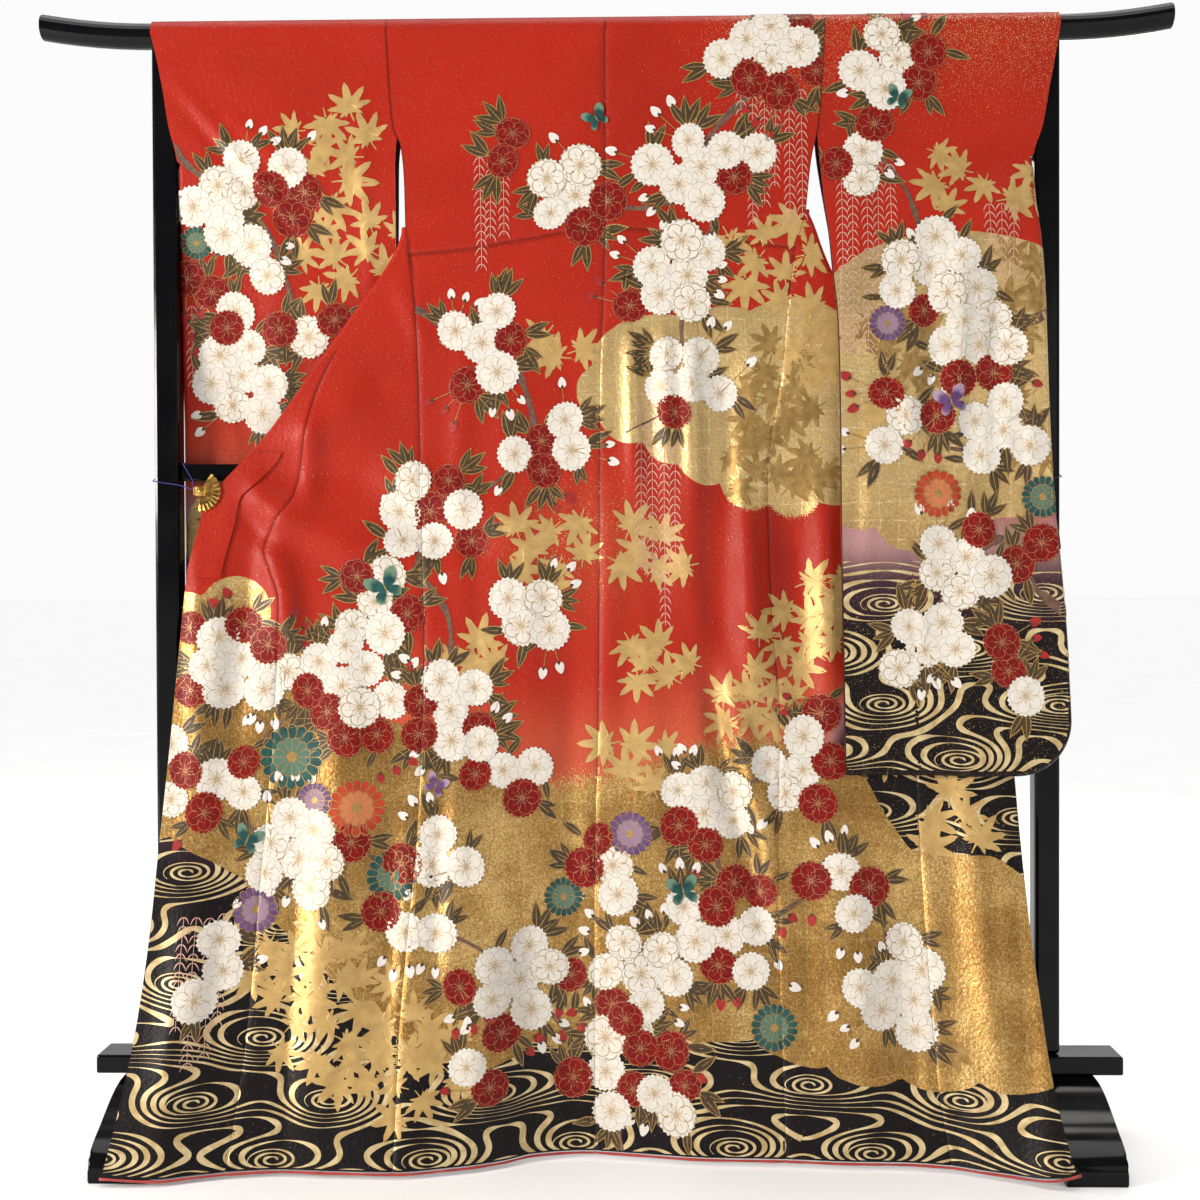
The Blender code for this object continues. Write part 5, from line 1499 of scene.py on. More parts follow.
# %% Walk the level lines
def level_lines(xs, ss, values, level):
    """Walk the level lines of a grid of values."""
    above = values > level
    links = {}

    def crossing(i, j, k, l):
        t = (level - values[i, j]) / (values[k, l] - values[i, j])
        return (xs[j] + (xs[l] - xs[j]) * t, ss[i] + (ss[k] - ss[i]) * t)

    busy = np.argwhere((above[:-1, :-1] != above[:-1, 1:]) | (above[:-1, :-1] != above[1:, :-1])
                       | (above[1:, 1:] != above[:-1, 1:]) | (above[1:, 1:] != above[1:, :-1]))
    for i, j in busy:
        sides = [((i, j), (i, j + 1)), ((i, j + 1), (i + 1, j + 1)),
                 ((i + 1, j), (i + 1, j + 1)), ((i, j), (i + 1, j))]
        crossed = [pair for pair in sides if above[pair[0]] != above[pair[1]]]
        for a, b in zip(crossed[0::2], crossed[1::2]):
            links.setdefault(a, []).append(b)
            links.setdefault(b, []).append(a)
    lines, seen = [], set()
    for start in sorted(links, key=lambda key: len(links[key])):
        if start in seen:
            continue
        walk = [start]
        seen.add(start)
        while True:
            ahead = [key for key in links[walk[-1]] if key not in seen]
            if not ahead:
                break
            walk.append(ahead[0])
            seen.add(ahead[0])
        if len(links[start]) == 2 and len(walk) > 3:
            walk.append(start)
        if len(walk) > 4:
            lines.append(np.array([crossing(*a, *b) for a, b in walk]))
    return lines


def smoothed(path, times=2):
    for _ in range(times):
        path = np.concatenate([path[:1], (path[:-2] + 2 * path[1:-1] + path[2:]) / 4, path[-1:]])
    return path


# %% [markdown]
# The brush is widest where a line runs steeply, and both ends of a line run out thin. All strokes are
# trimmed to the dark ground, where no gold leaf lies.

# %% Draw the water
water_gold = plain_finish("water_gold", screen(226, 204, 156), screen(190, 162, 110), 0.4, scale=60,
                          grain=1500, Metallic=0.35)
water = Ink("water_lines", water_gold)
WATERS = (
    ("body", -0.68, 0.68, 0.0, 0.62), ("sleeve_right", 0.3, 0.68, 0.53, 0.86),
    ("rear_sleeve_right", 0.3, 0.68, 0.53, 0.86), ("sleeve_left", -0.66, -0.28, 0.53, 0.78),
    ("rear_sleeve_left", -0.66, -0.28, 0.53, 0.78))
for group, left, right, low, high in WATERS:
    found = eddies(left, right, low + 0.03, high)
    xs = np.arange(left, right, WATER_GRID)
    ss = np.arange(low, high, WATER_GRID)
    grid_x, grid_s = np.meshgrid(xs, ss)
    values = flow(found, grid_x, grid_s)
    for level in np.arange(math.floor(values.min()) + 0.5, values.max(), 1.0):
        for path in level_lines(xs, ss, values, level):
            path = smoothed(path, 8)
            x, s = path.T
            d = 0.001
            slope = np.hypot(flow(found, x + d, s) - flow(found, x - d, s),
                             flow(found, x, s + d) - flow(found, x, s - d)) / (2 * d)
            spacing = 1 / np.maximum(slope, 40)
            closed = np.hypot(*(path[0] - path[-1])) < 1e-6
            if closed and np.ptp(x) < SMALLEST_LOOP:
                continue
            run = np.gradient(path, axis=0)
            steep = np.abs(run[:, 1]) / np.maximum(np.hypot(*run.T), 1e-9)
            width = np.clip(spacing * (0.05 + 0.68 * steep ** 0.7), 0.0004, 0.0084)
            if closed:
                ends = np.abs(np.arctan2(s - s.mean(), x - x.mean()) - chance.choice((-1.57, 1.57))) * 1.6
            else:
                ends = np.minimum(np.arange(len(path)), np.arange(len(path))[::-1]) / 6
            width = width * np.clip(ends, 0.02, 1.0)
            water.add(group, *ribbon(path, smoothed(width, 3)), 0.0003)
    for eddy in found:
        turn = np.linspace(0.0, SPIRAL_TURNS * TAU, SPIRAL_POINTS)
        reach = 0.0035 + 0.0205 * (turn / turn[-1]) ** 0.95
        path = np.stack([eddy.across + 1.45 * reach * np.cos(turn),
                         eddy.height + 0.62 * reach * np.sin(turn)], -1)
        swell = 0.0011 + 0.003 * np.abs(np.cos(turn)) ** 1.2
        tail = np.clip((SPIRAL_POINTS - np.arange(SPIRAL_POINTS)) / 16, 0.2, 1)
        water.add(group, *ribbon(path, swell * tail), 0.00042)


def dark_ground(group, x, s):
    """How far inside the dark, leafless ground a place lies."""
    if "sleeve" in group:
        side = group.split("_")[-1]
        start, end = SLEEVE_FADE[side]
        return np.minimum(end + 0.035 - s, -inside_lobes(SLEEVE_LOBES[side], x, s))
    return np.minimum(dark_top(x) - 0.012 - s, -body_ground(x, s)[1])


water.lay(trim=dark_ground)

# %% [markdown]
# ## Maple leaves in gold leaf
# Maple leaves with seven pointed lobes are scattered in overlapping drifts, cut from gold leaf that is
# a little greener than the clouds. One outline is drawn from a table of lobe angles and lengths, each
# lobe a pointed oval. Every leaf is then a turned, scaled copy.

# %% Draw the maple leaf and scatter its drifts
MAPLE_LOBES = ((0, 1.0), (43, 0.94), (84, 0.8), (128, 0.52))
maple_outline = []
for angle, length in [(-a, n) for a, n in MAPLE_LOBES[:0:-1]] + list(MAPLE_LOBES):
    width = 13
    for shift, share in ((-width - 8.5, 0.4), (-width, 0.6), (-width * 0.56, 0.82), (0, 1.0),
                         (width * 0.56, 0.82), (width, 0.6)):
        turn = math.radians(90 - angle - shift)
        reach = length * share if share > 0.5 else 0.42
        maple_outline.append(toward(turn, reach))
for angle in (160, 200):
    maple_outline.append(toward(math.radians(90 - angle), 0.22))
maple_leaf = patch(maple_outline, (1.0, 0.66, 0.3), (False, False, False))
stalk = ribbon([(0.0, -0.15), (0.02, -0.35), (0.06, -0.55)], (0.07, 0.05, 0.04))
maple_leaf = joined(maple_leaf, stalk)

maple_gold = plain_finish("maple_gold", screen(204, 168, 104), screen(186, 150, 90), 0.45, scale=60,
                          grain=900, depth=0.0002, Metallic=0.35)
maple = Ink("maple_leaves", maple_gold)
# Rows of (group of panels, across, height, number of leaves, spread)
DRIFTS = (
    ("sleeve_left", -0.39, 1.435, 8, 0.055), ("sleeve_left", -0.375, 1.29, 10, 0.065),
    ("body", 0.235, 1.265, 8, 0.06), ("body", 0.315, 1.15, 8, 0.05), ("body", -0.085, 0.85, 8, 0.055),
    ("body", 0.065, 0.845, 6, 0.045), ("body", 0.075, 0.69, 6, 0.04), ("body", 0.045, 0.56, 5, 0.045),
    ("body", 0.21, 0.64, 8, 0.045), ("body", 0.285, 0.73, 8, 0.05), ("body", 0.31, 0.79, 4, 0.03),
    ("body", -0.19, 0.705, 4, 0.03), ("body", -0.37, 0.215, 17, 0.085), ("body", -0.27, 0.14, 12, 0.065),
    ("body", -0.43, 0.28, 8, 0.055), ("body", 0.49, 0.47, 5, 0.045), ("body", 0.41, 0.56, 3, 0.03),
    ("body", -0.06, 1.14, 3, 0.03), ("sleeve_right", 0.5, 1.38, 5, 0.045),
    ("sleeve_right", 0.605, 1.365, 3, 0.03), ("sleeve_right", 0.39, 1.01, 3, 0.03),
    ("rear_sleeve_left", -0.4, 1.42, 8, 0.06), ("rear_sleeve_left", -0.52, 1.23, 8, 0.055),
    ("rear_sleeve_right", 0.42, 1.3, 8, 0.06), ("rear_sleeve_right", 0.54, 1.15, 6, 0.05),
    ("rear_body", -0.21, 1.42, 6, 0.05), ("rear_body", 0.18, 1.33, 8, 0.055),
    ("rear_body", -0.33, 1.13, 5, 0.045))
GOLDEN_ANGLE = 2.39996
chance = random.Random(21)


def scatter_leaves(ink, drifts, wide, tall, sizes, squashed, lift):
    """Spread each drift's leaves evenly over an oval, turned and scaled by chance."""
    for group, across, height, count, spread in drifts:
        for k in range(count):
            reach = spread * math.sqrt((k + 0.4) / count)
            angle = k * GOLDEN_ANGLE + across * 40
            where = (across + wide * reach * math.cos(angle), height + tall * reach * math.sin(angle))
            size, turn = chance.uniform(*sizes), chance.uniform(0, TAU)
            squash = chance.uniform(0.85, 1.0) if squashed else 1.0
            ink.stamp(group, maple_leaf, where, size, turn, lift(k), squash)


scatter_leaves(maple, DRIFTS, 1.35, 1.1, (0.034, 0.046), True, lambda k: 0.0004 + 0.00003 * (k % 7))
maple.lay()

# %% [markdown]
# Darker copies of the same leaf lie within the gold clouds, trimmed where the leaf gold ends, so that
# the clouds look worked and not empty.

# %% Scatter darker leaves within the gold
ghost_gold = plain_finish("ghost_gold", screen(176, 142, 84), screen(150, 116, 62), 0.4, scale=90,
                          grain=700, depth=0.0002, Metallic=0.6)
ghosts = Ink("ghost_leaves", ghost_gold)
# Rows of (group of panels, across, height, number of leaves, spread)
GHOST_DRIFTS = (
    ("body", 0.255, 1.085, 9, 0.055), ("body", 0.215, 0.99, 7, 0.045), ("body", 0.29, 0.965, 4, 0.03),
    ("sleeve_right", 0.43, 1.13, 8, 0.06), ("sleeve_right", 0.6, 1.22, 6, 0.05),
    ("sleeve_right", 0.59, 1.01, 5, 0.045), ("body", 0.44, 0.18, 5, 0.05))
scatter_leaves(ghosts, GHOST_DRIFTS, 1.1, 1.3, (0.03, 0.044), False, lambda k: 0.00028 + 0.00001 * k)


def inside_gold(group, x, s):
    values = sleeve_ground("right", x, s) if "sleeve" in group else body_ground(x, s)
    return values[1]


ghosts.lay(trim=inside_gold)

# %% [markdown]
# ## Willow
# Willow twigs hang straight down in groups, side by side and uneven in length, with narrow leaves in
# pairs like an arrow's feathers. Each leaf is a short brush stroke, thin at both ends.

# %% Hang the willow twigs
willow_paint = plain_finish("willow_paint", screen(218, 176, 160), screen(200, 150, 134), 0.5, scale=300)
willow = Ink("willow_twigs", willow_paint)
# Rows of (group, across, upper height, lower height, number of twigs side by side)
TWIGS = (
    ("body", 0.196, 1.52, 1.31, 6), ("body", 0.052, 1.075, 0.76, 4), ("body", -0.178, 1.42, 1.25, 3),
    ("body", -0.585, 0.35, 0.17, 4), ("sleeve_right", 0.338, 1.41, 1.12, 5),
    ("sleeve_right", 0.545, 1.34, 1.21, 3), ("sleeve_left", -0.6, 1.22, 1.06, 2),
    ("rear_sleeve_left", -0.395, 1.18, 0.93, 4), ("rear_sleeve_right", 0.37, 1.18, 0.94, 4),
    ("rear_body", -0.135, 1.56, 1.34, 3), ("rear_body", 0.255, 1.5, 1.31, 3))
TWIG_GAP = 0.0172
LEAF_STEP = 0.0118
chance = random.Random(8)
for group, first, high, low, twigs in TWIGS:
    for twig in range(twigs):
        across = first + twig * TWIG_GAP
        top = high - chance.uniform(0.0, LEAF_STEP)
        bend = chance.uniform(-0.003, 0.003)
        count = int((high - low) * chance.uniform(0.7, 1.12) / LEAF_STEP)
        steps = np.arange(2 * count)
        stem = np.stack([across + bend * np.sin(steps * 0.06), top - LEAF_STEP / 2 * steps], -1)
        willow.add(group, *ribbon(stem, 0.0007), 0.0005)
        for start in stem[::2]:
            for lean in (-1, 1):
                size = 0.0084 * chance.uniform(0.85, 1.1)
                t = np.linspace(0, 1, 5)
                stroke = np.stack([start[0] + lean * size * t ** 0.8, start[1] - 1.25 * size * t ** 1.8], -1)
                willow.add(group, *ribbon(stroke, (0.0006, 0.0013, 0.0015, 0.0011, 0.0003)), 0.00055)
willow.lay()

# %% [markdown]
# ## Cherry blossoms
# The sprays are of double cherry: a round flower with twelve notched petals round its rim, five petals
# drawn on top and five between them, and a bunch of stamens. White and crimson ones sit so close that
# they hide each other. A spray is laid out like a bunch of coins: each new flower lies close to an
# earlier one, as near to the middle as it can.

# %% Draw the blossom
PETALS = 12
PETAL_STEPS = ((0.0, 0.885), (0.26, 0.995), (0.5, 0.915), (0.74, 0.995))
double_outline = [toward(TAU * (k + part) / PETALS, reach)
                  for k in range(PETALS) for part, reach in PETAL_STEPS]
double_disc = patch(double_outline, (1.0, 0.74, 0.48, 0.2), (False, True, False, True))


def arc(middle_reach, towards, radius, half_angle, steps=9):
    """Part of a circle that bulges outwards in one direction."""
    angles = towards + np.linspace(-half_angle, half_angle, steps)
    middle = np.array([math.cos(towards), math.sin(towards)]) * middle_reach
    return middle + radius * np.stack([np.cos(angles), np.sin(angles)], -1)


def petal_lines(count, width):
    """Outlines of the petals on top and of those between them, and the stamens."""
    strokes = []
    for k in range(count):
        towards = TAU * (k + 0.25) / count
        strokes.append(ribbon(arc(0.5, towards, 0.335, 2.15, 11), width))
        strokes.append(ribbon(arc(0.6, towards + TAU / count / 2, 0.345, 0.95, 7), width))
        strokes.append(ribbon([toward(towards, 0.4), toward(towards, 0.62)], (width * 0.8, width * 0.3)))
    for k in range(16):
        angle = TAU * (k + 0.3 * math.sin(2.1 * k)) / 16
        reach = (0.4, 0.27, 0.34)[k % 3]
        tip = np.array([math.cos(angle), math.sin(angle)])
        strokes.append(ribbon([tip * 0.04, tip * reach], (0.022, 0.012)))
        strokes.append(ribbon([tip * reach, tip * (reach + 0.04)], (0.046, 0.038)))
    return joined(*strokes)


TOP_PETALS = 5
double_lines = petal_lines(TOP_PETALS, 0.016)
bold_lines = petal_lines(TOP_PETALS, 0.036)
outline_ring = ribbon(np.array(double_outline + double_outline[:1]), 0.018)
print("a blossom has", len(double_disc[1]) + len(double_lines[1]), "triangles")

# %% [markdown]
# Where the sprays stand is a table of middles and counts. A flower that comes close to earlier ones
# takes the lowest level that none of them has, so that no two petals share a depth.

# %% Lay out the sprays
BLOSSOM = 0.0305
CLOSEST = 0.0385
OVERLAPPING = 0.063
TOP_LEVEL = 5
Spray = namedtuple("Spray", "across height count crimson")
BODY_SPRAYS = rows_of(Spray,
    (0.24, 1.55, 9, 0.4), (0.14, 1.4, 8, 0.1), (-0.04, 1.36, 6, 0.3), (-0.13, 1.45, 2, 1.0),
    (0.12, 1.245, 7, 0.15), (-0.175, 1.15, 6, 0.3), (0.125, 1.09, 6, 0.2), (-0.09, 1.01, 5, 0.4),
    (-0.25, 0.91, 8, 0.4), (-0.33, 0.78, 6, 0.3), (-0.12, 0.745, 4, 0.0), (-0.52, 0.7, 9, 0.4),
    (-0.375, 0.66, 12, 0.35), (-0.22, 0.625, 7, 0.4), (-0.55, 0.53, 7, 0.4), (-0.145, 0.54, 5, 0.3),
    (-0.43, 0.42, 8, 0.1), (-0.245, 0.41, 4, 0.3), (0.28, 0.54, 7, 0.4), (0.14, 0.48, 7, 0.3),
    (0.33, 0.4, 4, 0.6), (0.17, 0.31, 9, 0.4), (0.05, 0.255, 9, 0.2), (0.4, 0.25, 7, 0.05),
    (-0.12, 0.25, 8, 0.3), (0.0, 0.12, 7, 0.5), (0.11, 0.105, 4, 0.5), (-0.53, 0.27, 3, 0.0),
    (-0.16, 0.11, 2, 0.5), (-0.28, 0.32, 3, 0.2), (0.01, 0.405, 4, 0.5))
SPRAYS = {
    "body": BODY_SPRAYS,
    "sleeve_right": rows_of(Spray,
        (0.42, 1.55, 6, 0.3), (0.37, 1.42, 4, 0.4), (0.46, 1.25, 8, 0.1), (0.53, 1.14, 7, 0.35),
        (0.425, 1.04, 4, 0.4), (0.565, 1.02, 5, 0.1), (0.51, 0.84, 6, 0.35), (0.58, 0.83, 3, 0.6),
        (0.45, 0.71, 5, 0.0), (0.565, 0.68, 3, 0.5)),
    "sleeve_left": rows_of(Spray,
        (-0.555, 1.38, 5, 0.1), (-0.51, 1.295, 3, 0.0), (-0.43, 1.37, 4, 0.8), (-0.57, 1.23, 3, 0.7),
        (-0.53, 1.11, 8, 0.1), (-0.43, 1.165, 3, 0.6), (-0.5, 0.9, 5, 0.4), (-0.42, 0.75, 5, 0.3),
        (-0.55, 0.68, 4, 0.3)),
    "rear_sleeve_left": rows_of(Spray,
        (-0.52, 1.42, 7, 0.3), (-0.4, 1.27, 6, 0.3), (-0.53, 1.09, 7, 0.2), (-0.43, 0.93, 8, 0.4),
        (-0.55, 0.83, 4, 0.5), (-0.42, 0.7, 5, 0.1), (-0.54, 0.65, 4, 0.3)),
    "rear_sleeve_right": rows_of(Spray,
        (0.43, 1.45, 7, 0.3), (0.54, 1.3, 6, 0.3), (0.44, 1.11, 8, 0.25), (0.56, 0.98, 5, 0.4),
        (0.43, 0.88, 6, 0.3), (0.54, 0.73, 6, 0.2), (0.42, 0.65, 3, 0.5)),
    "rear_body": rows_of(Spray,
        (-0.23, 1.5, 6, 0.3), (-0.13, 1.38, 5, 0.2), (-0.26, 1.26, 6, 0.4), (-0.38, 1.08, 4, 0.3),
        (0.2, 1.47, 7, 0.3), (0.27, 1.27, 6, 0.2), (0.15, 1.32, 3, 0.6), (0.38, 1.09, 4, 0.3)),
}
Flower = namedtuple("Flower", "group across height radius level crimson")
flowers = []
chance = random.Random(42)


def bunch(spray):
    """Places of a spray's flowers, packed from its middle outwards."""
    places = [(spray.across, spray.height)]
    while len(places) < spray.count:
        tries = []
        for _ in range(26):
            x, s = chance.choice(places)
            angle, gap = chance.uniform(0, TAU), chance.uniform(0.041, 0.051)
            near = (x + gap * math.cos(angle), s + gap * math.sin(angle))
            if min(math.dist(near, place) for place in places) > CLOSEST:
                away = math.dist(near, (spray.across, spray.height))
                tries.append((away * chance.uniform(0.75, 1.35), near))
        places.append(min(tries)[1])
    return places


for group, sprays in SPRAYS.items():
    for spray in sprays:
        places = bunch(spray)
        red_count = round(spray.crimson * spray.count)
        order = sorted(range(len(places)), key=lambda k: chance.random() + 0.04 * k)
        for k, (x, s) in enumerate(places):
            level = 0
            near = [f.level for f in flowers
                    if f.group == group and math.dist((x, s), (f.across, f.height)) < OVERLAPPING]
            while level in near:
                level += 1
            if level > TOP_LEVEL:
                continue
            crimson = k in order[len(order) - red_count:]
            radius = BLOSSOM * chance.uniform(0.88, 1.08) * (0.93 if crimson else 1.0)
            flowers.append(Flower(group, x, s, radius, level, crimson))
print("blossoms:", len(flowers), "of them crimson:", sum(f.crimson for f in flowers))

# %% [markdown]
# ## Paints of the flowers
# White petals are painted with a thick chalky white, shaded off a little towards the middle, so the
# tint stored on each point mixes in a warmer colour. Their lines are couched gold thread. The crimson
# petals are shaded darker inwards. All keep a fine grain, because they are laid on crepe.

# %% Make the paints and lay the blossoms
def petal_paint(name, light, shade, inner, roughness=0.5):
    """A paint that turns to its inner colour where the tint says so."""
    finish = Finish(name)
    finish.bump(finish.sum("ADD", finish.noise(800), finish.noise(110, detail=1)), 0.00018)
    patches = finish.spread(finish.noise(70, detail=2), 0.35, 0.65)
    colour = finish.mix(patches, shade, light)
    colour = finish.mix(finish.attribute("tint"), colour, inner)
    return finish.set(Base_Color=colour, Roughness=finish.spread(finish.noise(50), 0.3, 0.7, roughness - 0.05,
                                                                roughness + 0.05), Specular_IOR_Level=0.22)


white_petals = Ink("white_petals", petal_paint("petal_white", screen(229, 225, 217), screen(219, 213, 203),
                                               screen(222, 196, 162)))
crimson_petals = Ink("crimson_petals", petal_paint("petal_crimson", screen(136, 9, 5), screen(114, 7, 4),
                                                   screen(78, 5, 4)))
gold_thread = plain_finish("gold_thread", screen(186, 160, 112), screen(160, 130, 84), 0.42, scale=500,
                           grain=2200, Metallic=0.3)
pale_thread = plain_finish("pale_thread", screen(206, 150, 104), screen(180, 112, 74), 0.45, scale=500,
                           grain=2200, Metallic=0.3)
white_lines = Ink("white_petal_lines", gold_thread)
crimson_lines = Ink("crimson_petal_lines", pale_thread)
away = np.linalg.norm(double_disc[0], axis=1)
inner_tint = np.exp(-(away / 0.3) ** 2) * 0.75 + 0.18 * np.exp(-((away - 0.62) / 0.1) ** 2)
for flower in flowers:
    where = (flower.across, flower.height)
    turn, squash = chance.uniform(0, TAU), chance.uniform(0.88, 1.0)
    lift = 0.0009 + 0.00024 * flower.level
    petals, lines = (crimson_petals, crimson_lines) if flower.crimson else (white_petals, white_lines)
    petals.stamp(flower.group, double_disc, where, flower.radius, turn, lift, squash, inner_tint)
    bold = not flower.crimson and chance.random() < 0.2
    drawn = [bold_lines if bold else double_lines] + [outline_ring] * (bold or flower.crimson)
    for shape in drawn:
        lines.stamp(flower.group, shape, where, flower.radius * 0.99, turn, lift + 0.00012, squash)
for ink in (white_petals, crimson_petals, white_lines, crimson_lines):
    ink.lay()

# %% [markdown]
# ## Leaves, buds and branches
# Dark olive leaves with a gold edge stick out between the flowers, one to three together, and buds hang
# beyond them on thin stalks. Each starts under the rim of a flower and points to free ground beside it.

# %% Grow leaves and buds from the sprays
leaf_t = np.linspace(0, 1, 7)
half_leaf = np.sin(np.pi * leaf_t ** 0.85) * 0.165
leaf_outline = np.concatenate([np.stack([leaf_t, half_leaf], -1),
                               np.stack([leaf_t, -half_leaf], -1)[-2:0:-1]])
leaf_shape = patch(leaf_outline, (1.0, 0.5), (False, False))
leaf_core = (placed(leaf_shape[0] - (0.5, 0), (0.5, 0), 0.88, 0.0, 0.9), leaf_shape[1])
leaf_vein = ribbon([(0.02, 0.0), (0.5, 0.0), (0.95, 0.0)], (0.03, 0.022, 0.008))
bud_outline = [(0.5 + 0.5 * math.cos(a), (0.36 - 0.12 * math.cos(a)) * math.sin(a))
               for a in np.arange(14) / 14 * TAU]
bud_shape = patch(bud_outline, (1.0, 0.5), (False, False))

olive_paint = plain_finish("olive_paint", screen(76, 56, 20), screen(50, 36, 13), 0.5, scale=220)
leaf_gold = plain_finish("leaf_gold", screen(188, 152, 92), screen(150, 116, 64), 0.42, scale=400,
                         Metallic=0.4)
bud_white = plain_finish("bud_white", screen(229, 224, 216), screen(220, 208, 200), 0.5, scale=260)
bud_crimson = plain_finish("bud_crimson", screen(172, 30, 24), screen(140, 18, 16), 0.5, scale=260)
leaf_edges, leaves = Ink("leaf_edges", leaf_gold), Ink("olive_leaves", olive_paint)
white_buds, crimson_buds = Ink("white_buds", bud_white), Ink("crimson_buds", bud_crimson)
NEIGHBOUR_REACH = 0.1
LOOK_OUT = 0.055
FREE_REACH = 0.036
LEAF_START = 0.02
by_group = {}
for flower in flowers:
    by_group.setdefault(flower.group, []).append(flower)
for group, members in by_group.items():
    for flower in members:
        near = [f for f in members if f is not flower
                and math.dist((f.across, f.height), (flower.across, flower.height)) < NEIGHBOUR_REACH]
        free = []
        for k in range(16):
            angle = TAU * k / 16 + chance.uniform(-0.15, 0.15)
            tip = (flower.across + LOOK_OUT * math.cos(angle), flower.height + LOOK_OUT * math.sin(angle))
            if all(math.dist(tip, (f.across, f.height)) > FREE_REACH for f in near):
                free.append(angle)
        if not free:
            continue
        for angle in chance.sample(free, min(len(free), chance.choice((1, 2, 2)))):
            start = (flower.across + LEAF_START * math.cos(angle),
                     flower.height + LEAF_START * math.sin(angle))
            for k in range(chance.choice((1, 2, 2, 3))):
                turn = angle + (k - 1) * chance.uniform(0.45, 0.6)
                size = chance.uniform(0.032, 0.048)
                lift = 0.00055 + 0.00006 * k
                leaf_edges.stamp(group, leaf_shape, start, size, turn, lift)
                leaves.stamp(group, leaf_core, start, size, turn, lift + 0.00012)
                leaf_edges.stamp(group, leaf_vein, start, size, turn, lift + 0.00024)
        if chance.random() < 0.42:
            angle = chance.choice(free)
            buds = crimson_buds if flower.crimson else white_buds
            start = np.array([flower.across, flower.height])
            for k in range(chance.choice((1, 2, 3))):
                turn = angle + (k - 1) * 0.42
                reach = chance.uniform(0.042, 0.056)
                end = start + reach * np.array([math.cos(turn), math.sin(turn)])
                leaf_edges.add(group, *ribbon([start, (start + end) / 2, end], 0.0012), 0.0007)
                buds.stamp(group, bud_shape, end, chance.uniform(0.014, 0.018), turn, 0.0009)
                root = end - 0.0015 * np.array([math.cos(turn), math.sin(turn)])
                leaves.stamp(group, leaf_shape, root, 0.0062, turn, 0.001, 2.2)
for ink in (leaf_edges, leaves, white_buds, crimson_buds):
    ink.lay()

# %% [markdown]
# Branches run behind the flowers from spray to spray. Each is a ribbon along a smooth line through a few
# points that tapers towards its tip, with slow waves in its width for the knots of old wood.

# %% Draw the branches
branch_paint = plain_finish("branch_paint", screen(116, 84, 66), screen(86, 58, 46), 0.55, scale=160)
branches = Ink("branches", branch_paint)
# Each row is a group, the width at the start in metres, and the points that the branch passes, in
# centimetres
BRANCHES = (
    ("body", 0.013, (30, 160), (24, 153), (15, 144), (12, 136), (5, 134), (-4, 136)),
    ("body", 0.008, (15, 144), (17, 136), (13, 126), (11, 117), (12, 108), (3, 102)),
    ("body", 0.012, (-27, 120), (-20, 116), (-13, 112), (-10, 102), (-17, 94), (-25, 91)),
    ("body", 0.01, (-25, 91), (-27, 83), (-33, 78), (-40, 70), (-45, 62), (-54, 54)),
    ("body", 0.009, (-27, 83), (-22, 74), (-22, 63), (-17, 56), (-13, 50)),
    ("body", 0.009, (-40, 70), (-47, 72), (-53, 71), (-59, 75)),
    ("body", 0.012, (2, 1), (1, 7), (0, 13), (4, 22), (10, 27), (17, 31)),
    ("body", 0.01, (17, 31), (16, 40), (15, 48), (22, 53), (29, 55)),
    ("body", 0.008, (17, 31), (26, 35), (33, 39), (39, 32), (40, 25)),
    ("body", 0.009, (0, 13), (-7, 19), (-12, 25), (-20, 31), (-28, 33)),
    ("body", 0.008, (-54, 54), (-50, 46), (-43, 42), (-36, 40)),
    ("sleeve_right", 0.013, (64, 119), (56, 116), (50, 119), (46, 126), (43, 136), (38, 143)),
    ("sleeve_right", 0.01, (56, 116), (57, 108), (56, 102), (50, 99), (43, 104)),
    ("sleeve_right", 0.014, (65, 76), (60, 80), (56, 87), (52, 84), (47, 77), (45, 71)),
    ("sleeve_left", 0.012, (-64, 146), (-59, 140), (-52, 136), (-47, 128), (-45, 118), (-52, 111)),
    ("sleeve_left", 0.01, (-62, 98), (-55, 93), (-49, 88), (-44, 80), (-42, 73)),
    ("rear_sleeve_left", 0.012, (-62, 148), (-53, 142), (-44, 133), (-40, 126), (-47, 116), (-53, 108)),
    ("rear_sleeve_left", 0.011, (-62, 97), (-53, 93), (-44, 92), (-43, 82), (-42, 70)),
    ("rear_sleeve_right", 0.012, (34, 155), (42, 146), (51, 137), (54, 129), (48, 120), (44, 110)),
    ("rear_sleeve_right", 0.011, (61, 106), (55, 98), (46, 93), (43, 86), (50, 78), (55, 72)),
    ("rear_body", 0.01, (-29, 157), (-22, 150), (-14, 140), (-20, 131), (-27, 125)),
    ("rear_body", 0.01, (10, 155), (19, 148), (22, 138), (26, 128), (33, 116)))
for group, width, *points in BRANCHES:
    points = np.array(points) / 100
    marks_along = np.concatenate([[0], np.cumsum(np.hypot(*np.diff(points, axis=0).T))])
    steps = np.arange(0, marks_along[-1], 0.006)
    x = line(*zip(marks_along, points[:, 0]))(steps)
    s = line(*zip(marks_along, points[:, 1]))(steps)
    path = smoothed(np.stack([x, s], -1), 12)
    knots = 1 + 0.22 * np.sin(steps * 90 + width * 900) + 0.15 * np.sin(steps * 210)
    branches.add(group, *ribbon(path, width * (1 - 0.65 * steps / marks_along[-1]) * knots), 0.00048)
branches.lay()

# %% [markdown]
# ## Chrysanthemums and butterflies
# A few large chrysanthemums in teal, violet and vermilion break the red and white, with small
# butterflies between them. A chrysanthemum is two rings of narrow round-ended petals about a gold
# heart: two scalloped patches, with gold lines between the petals.

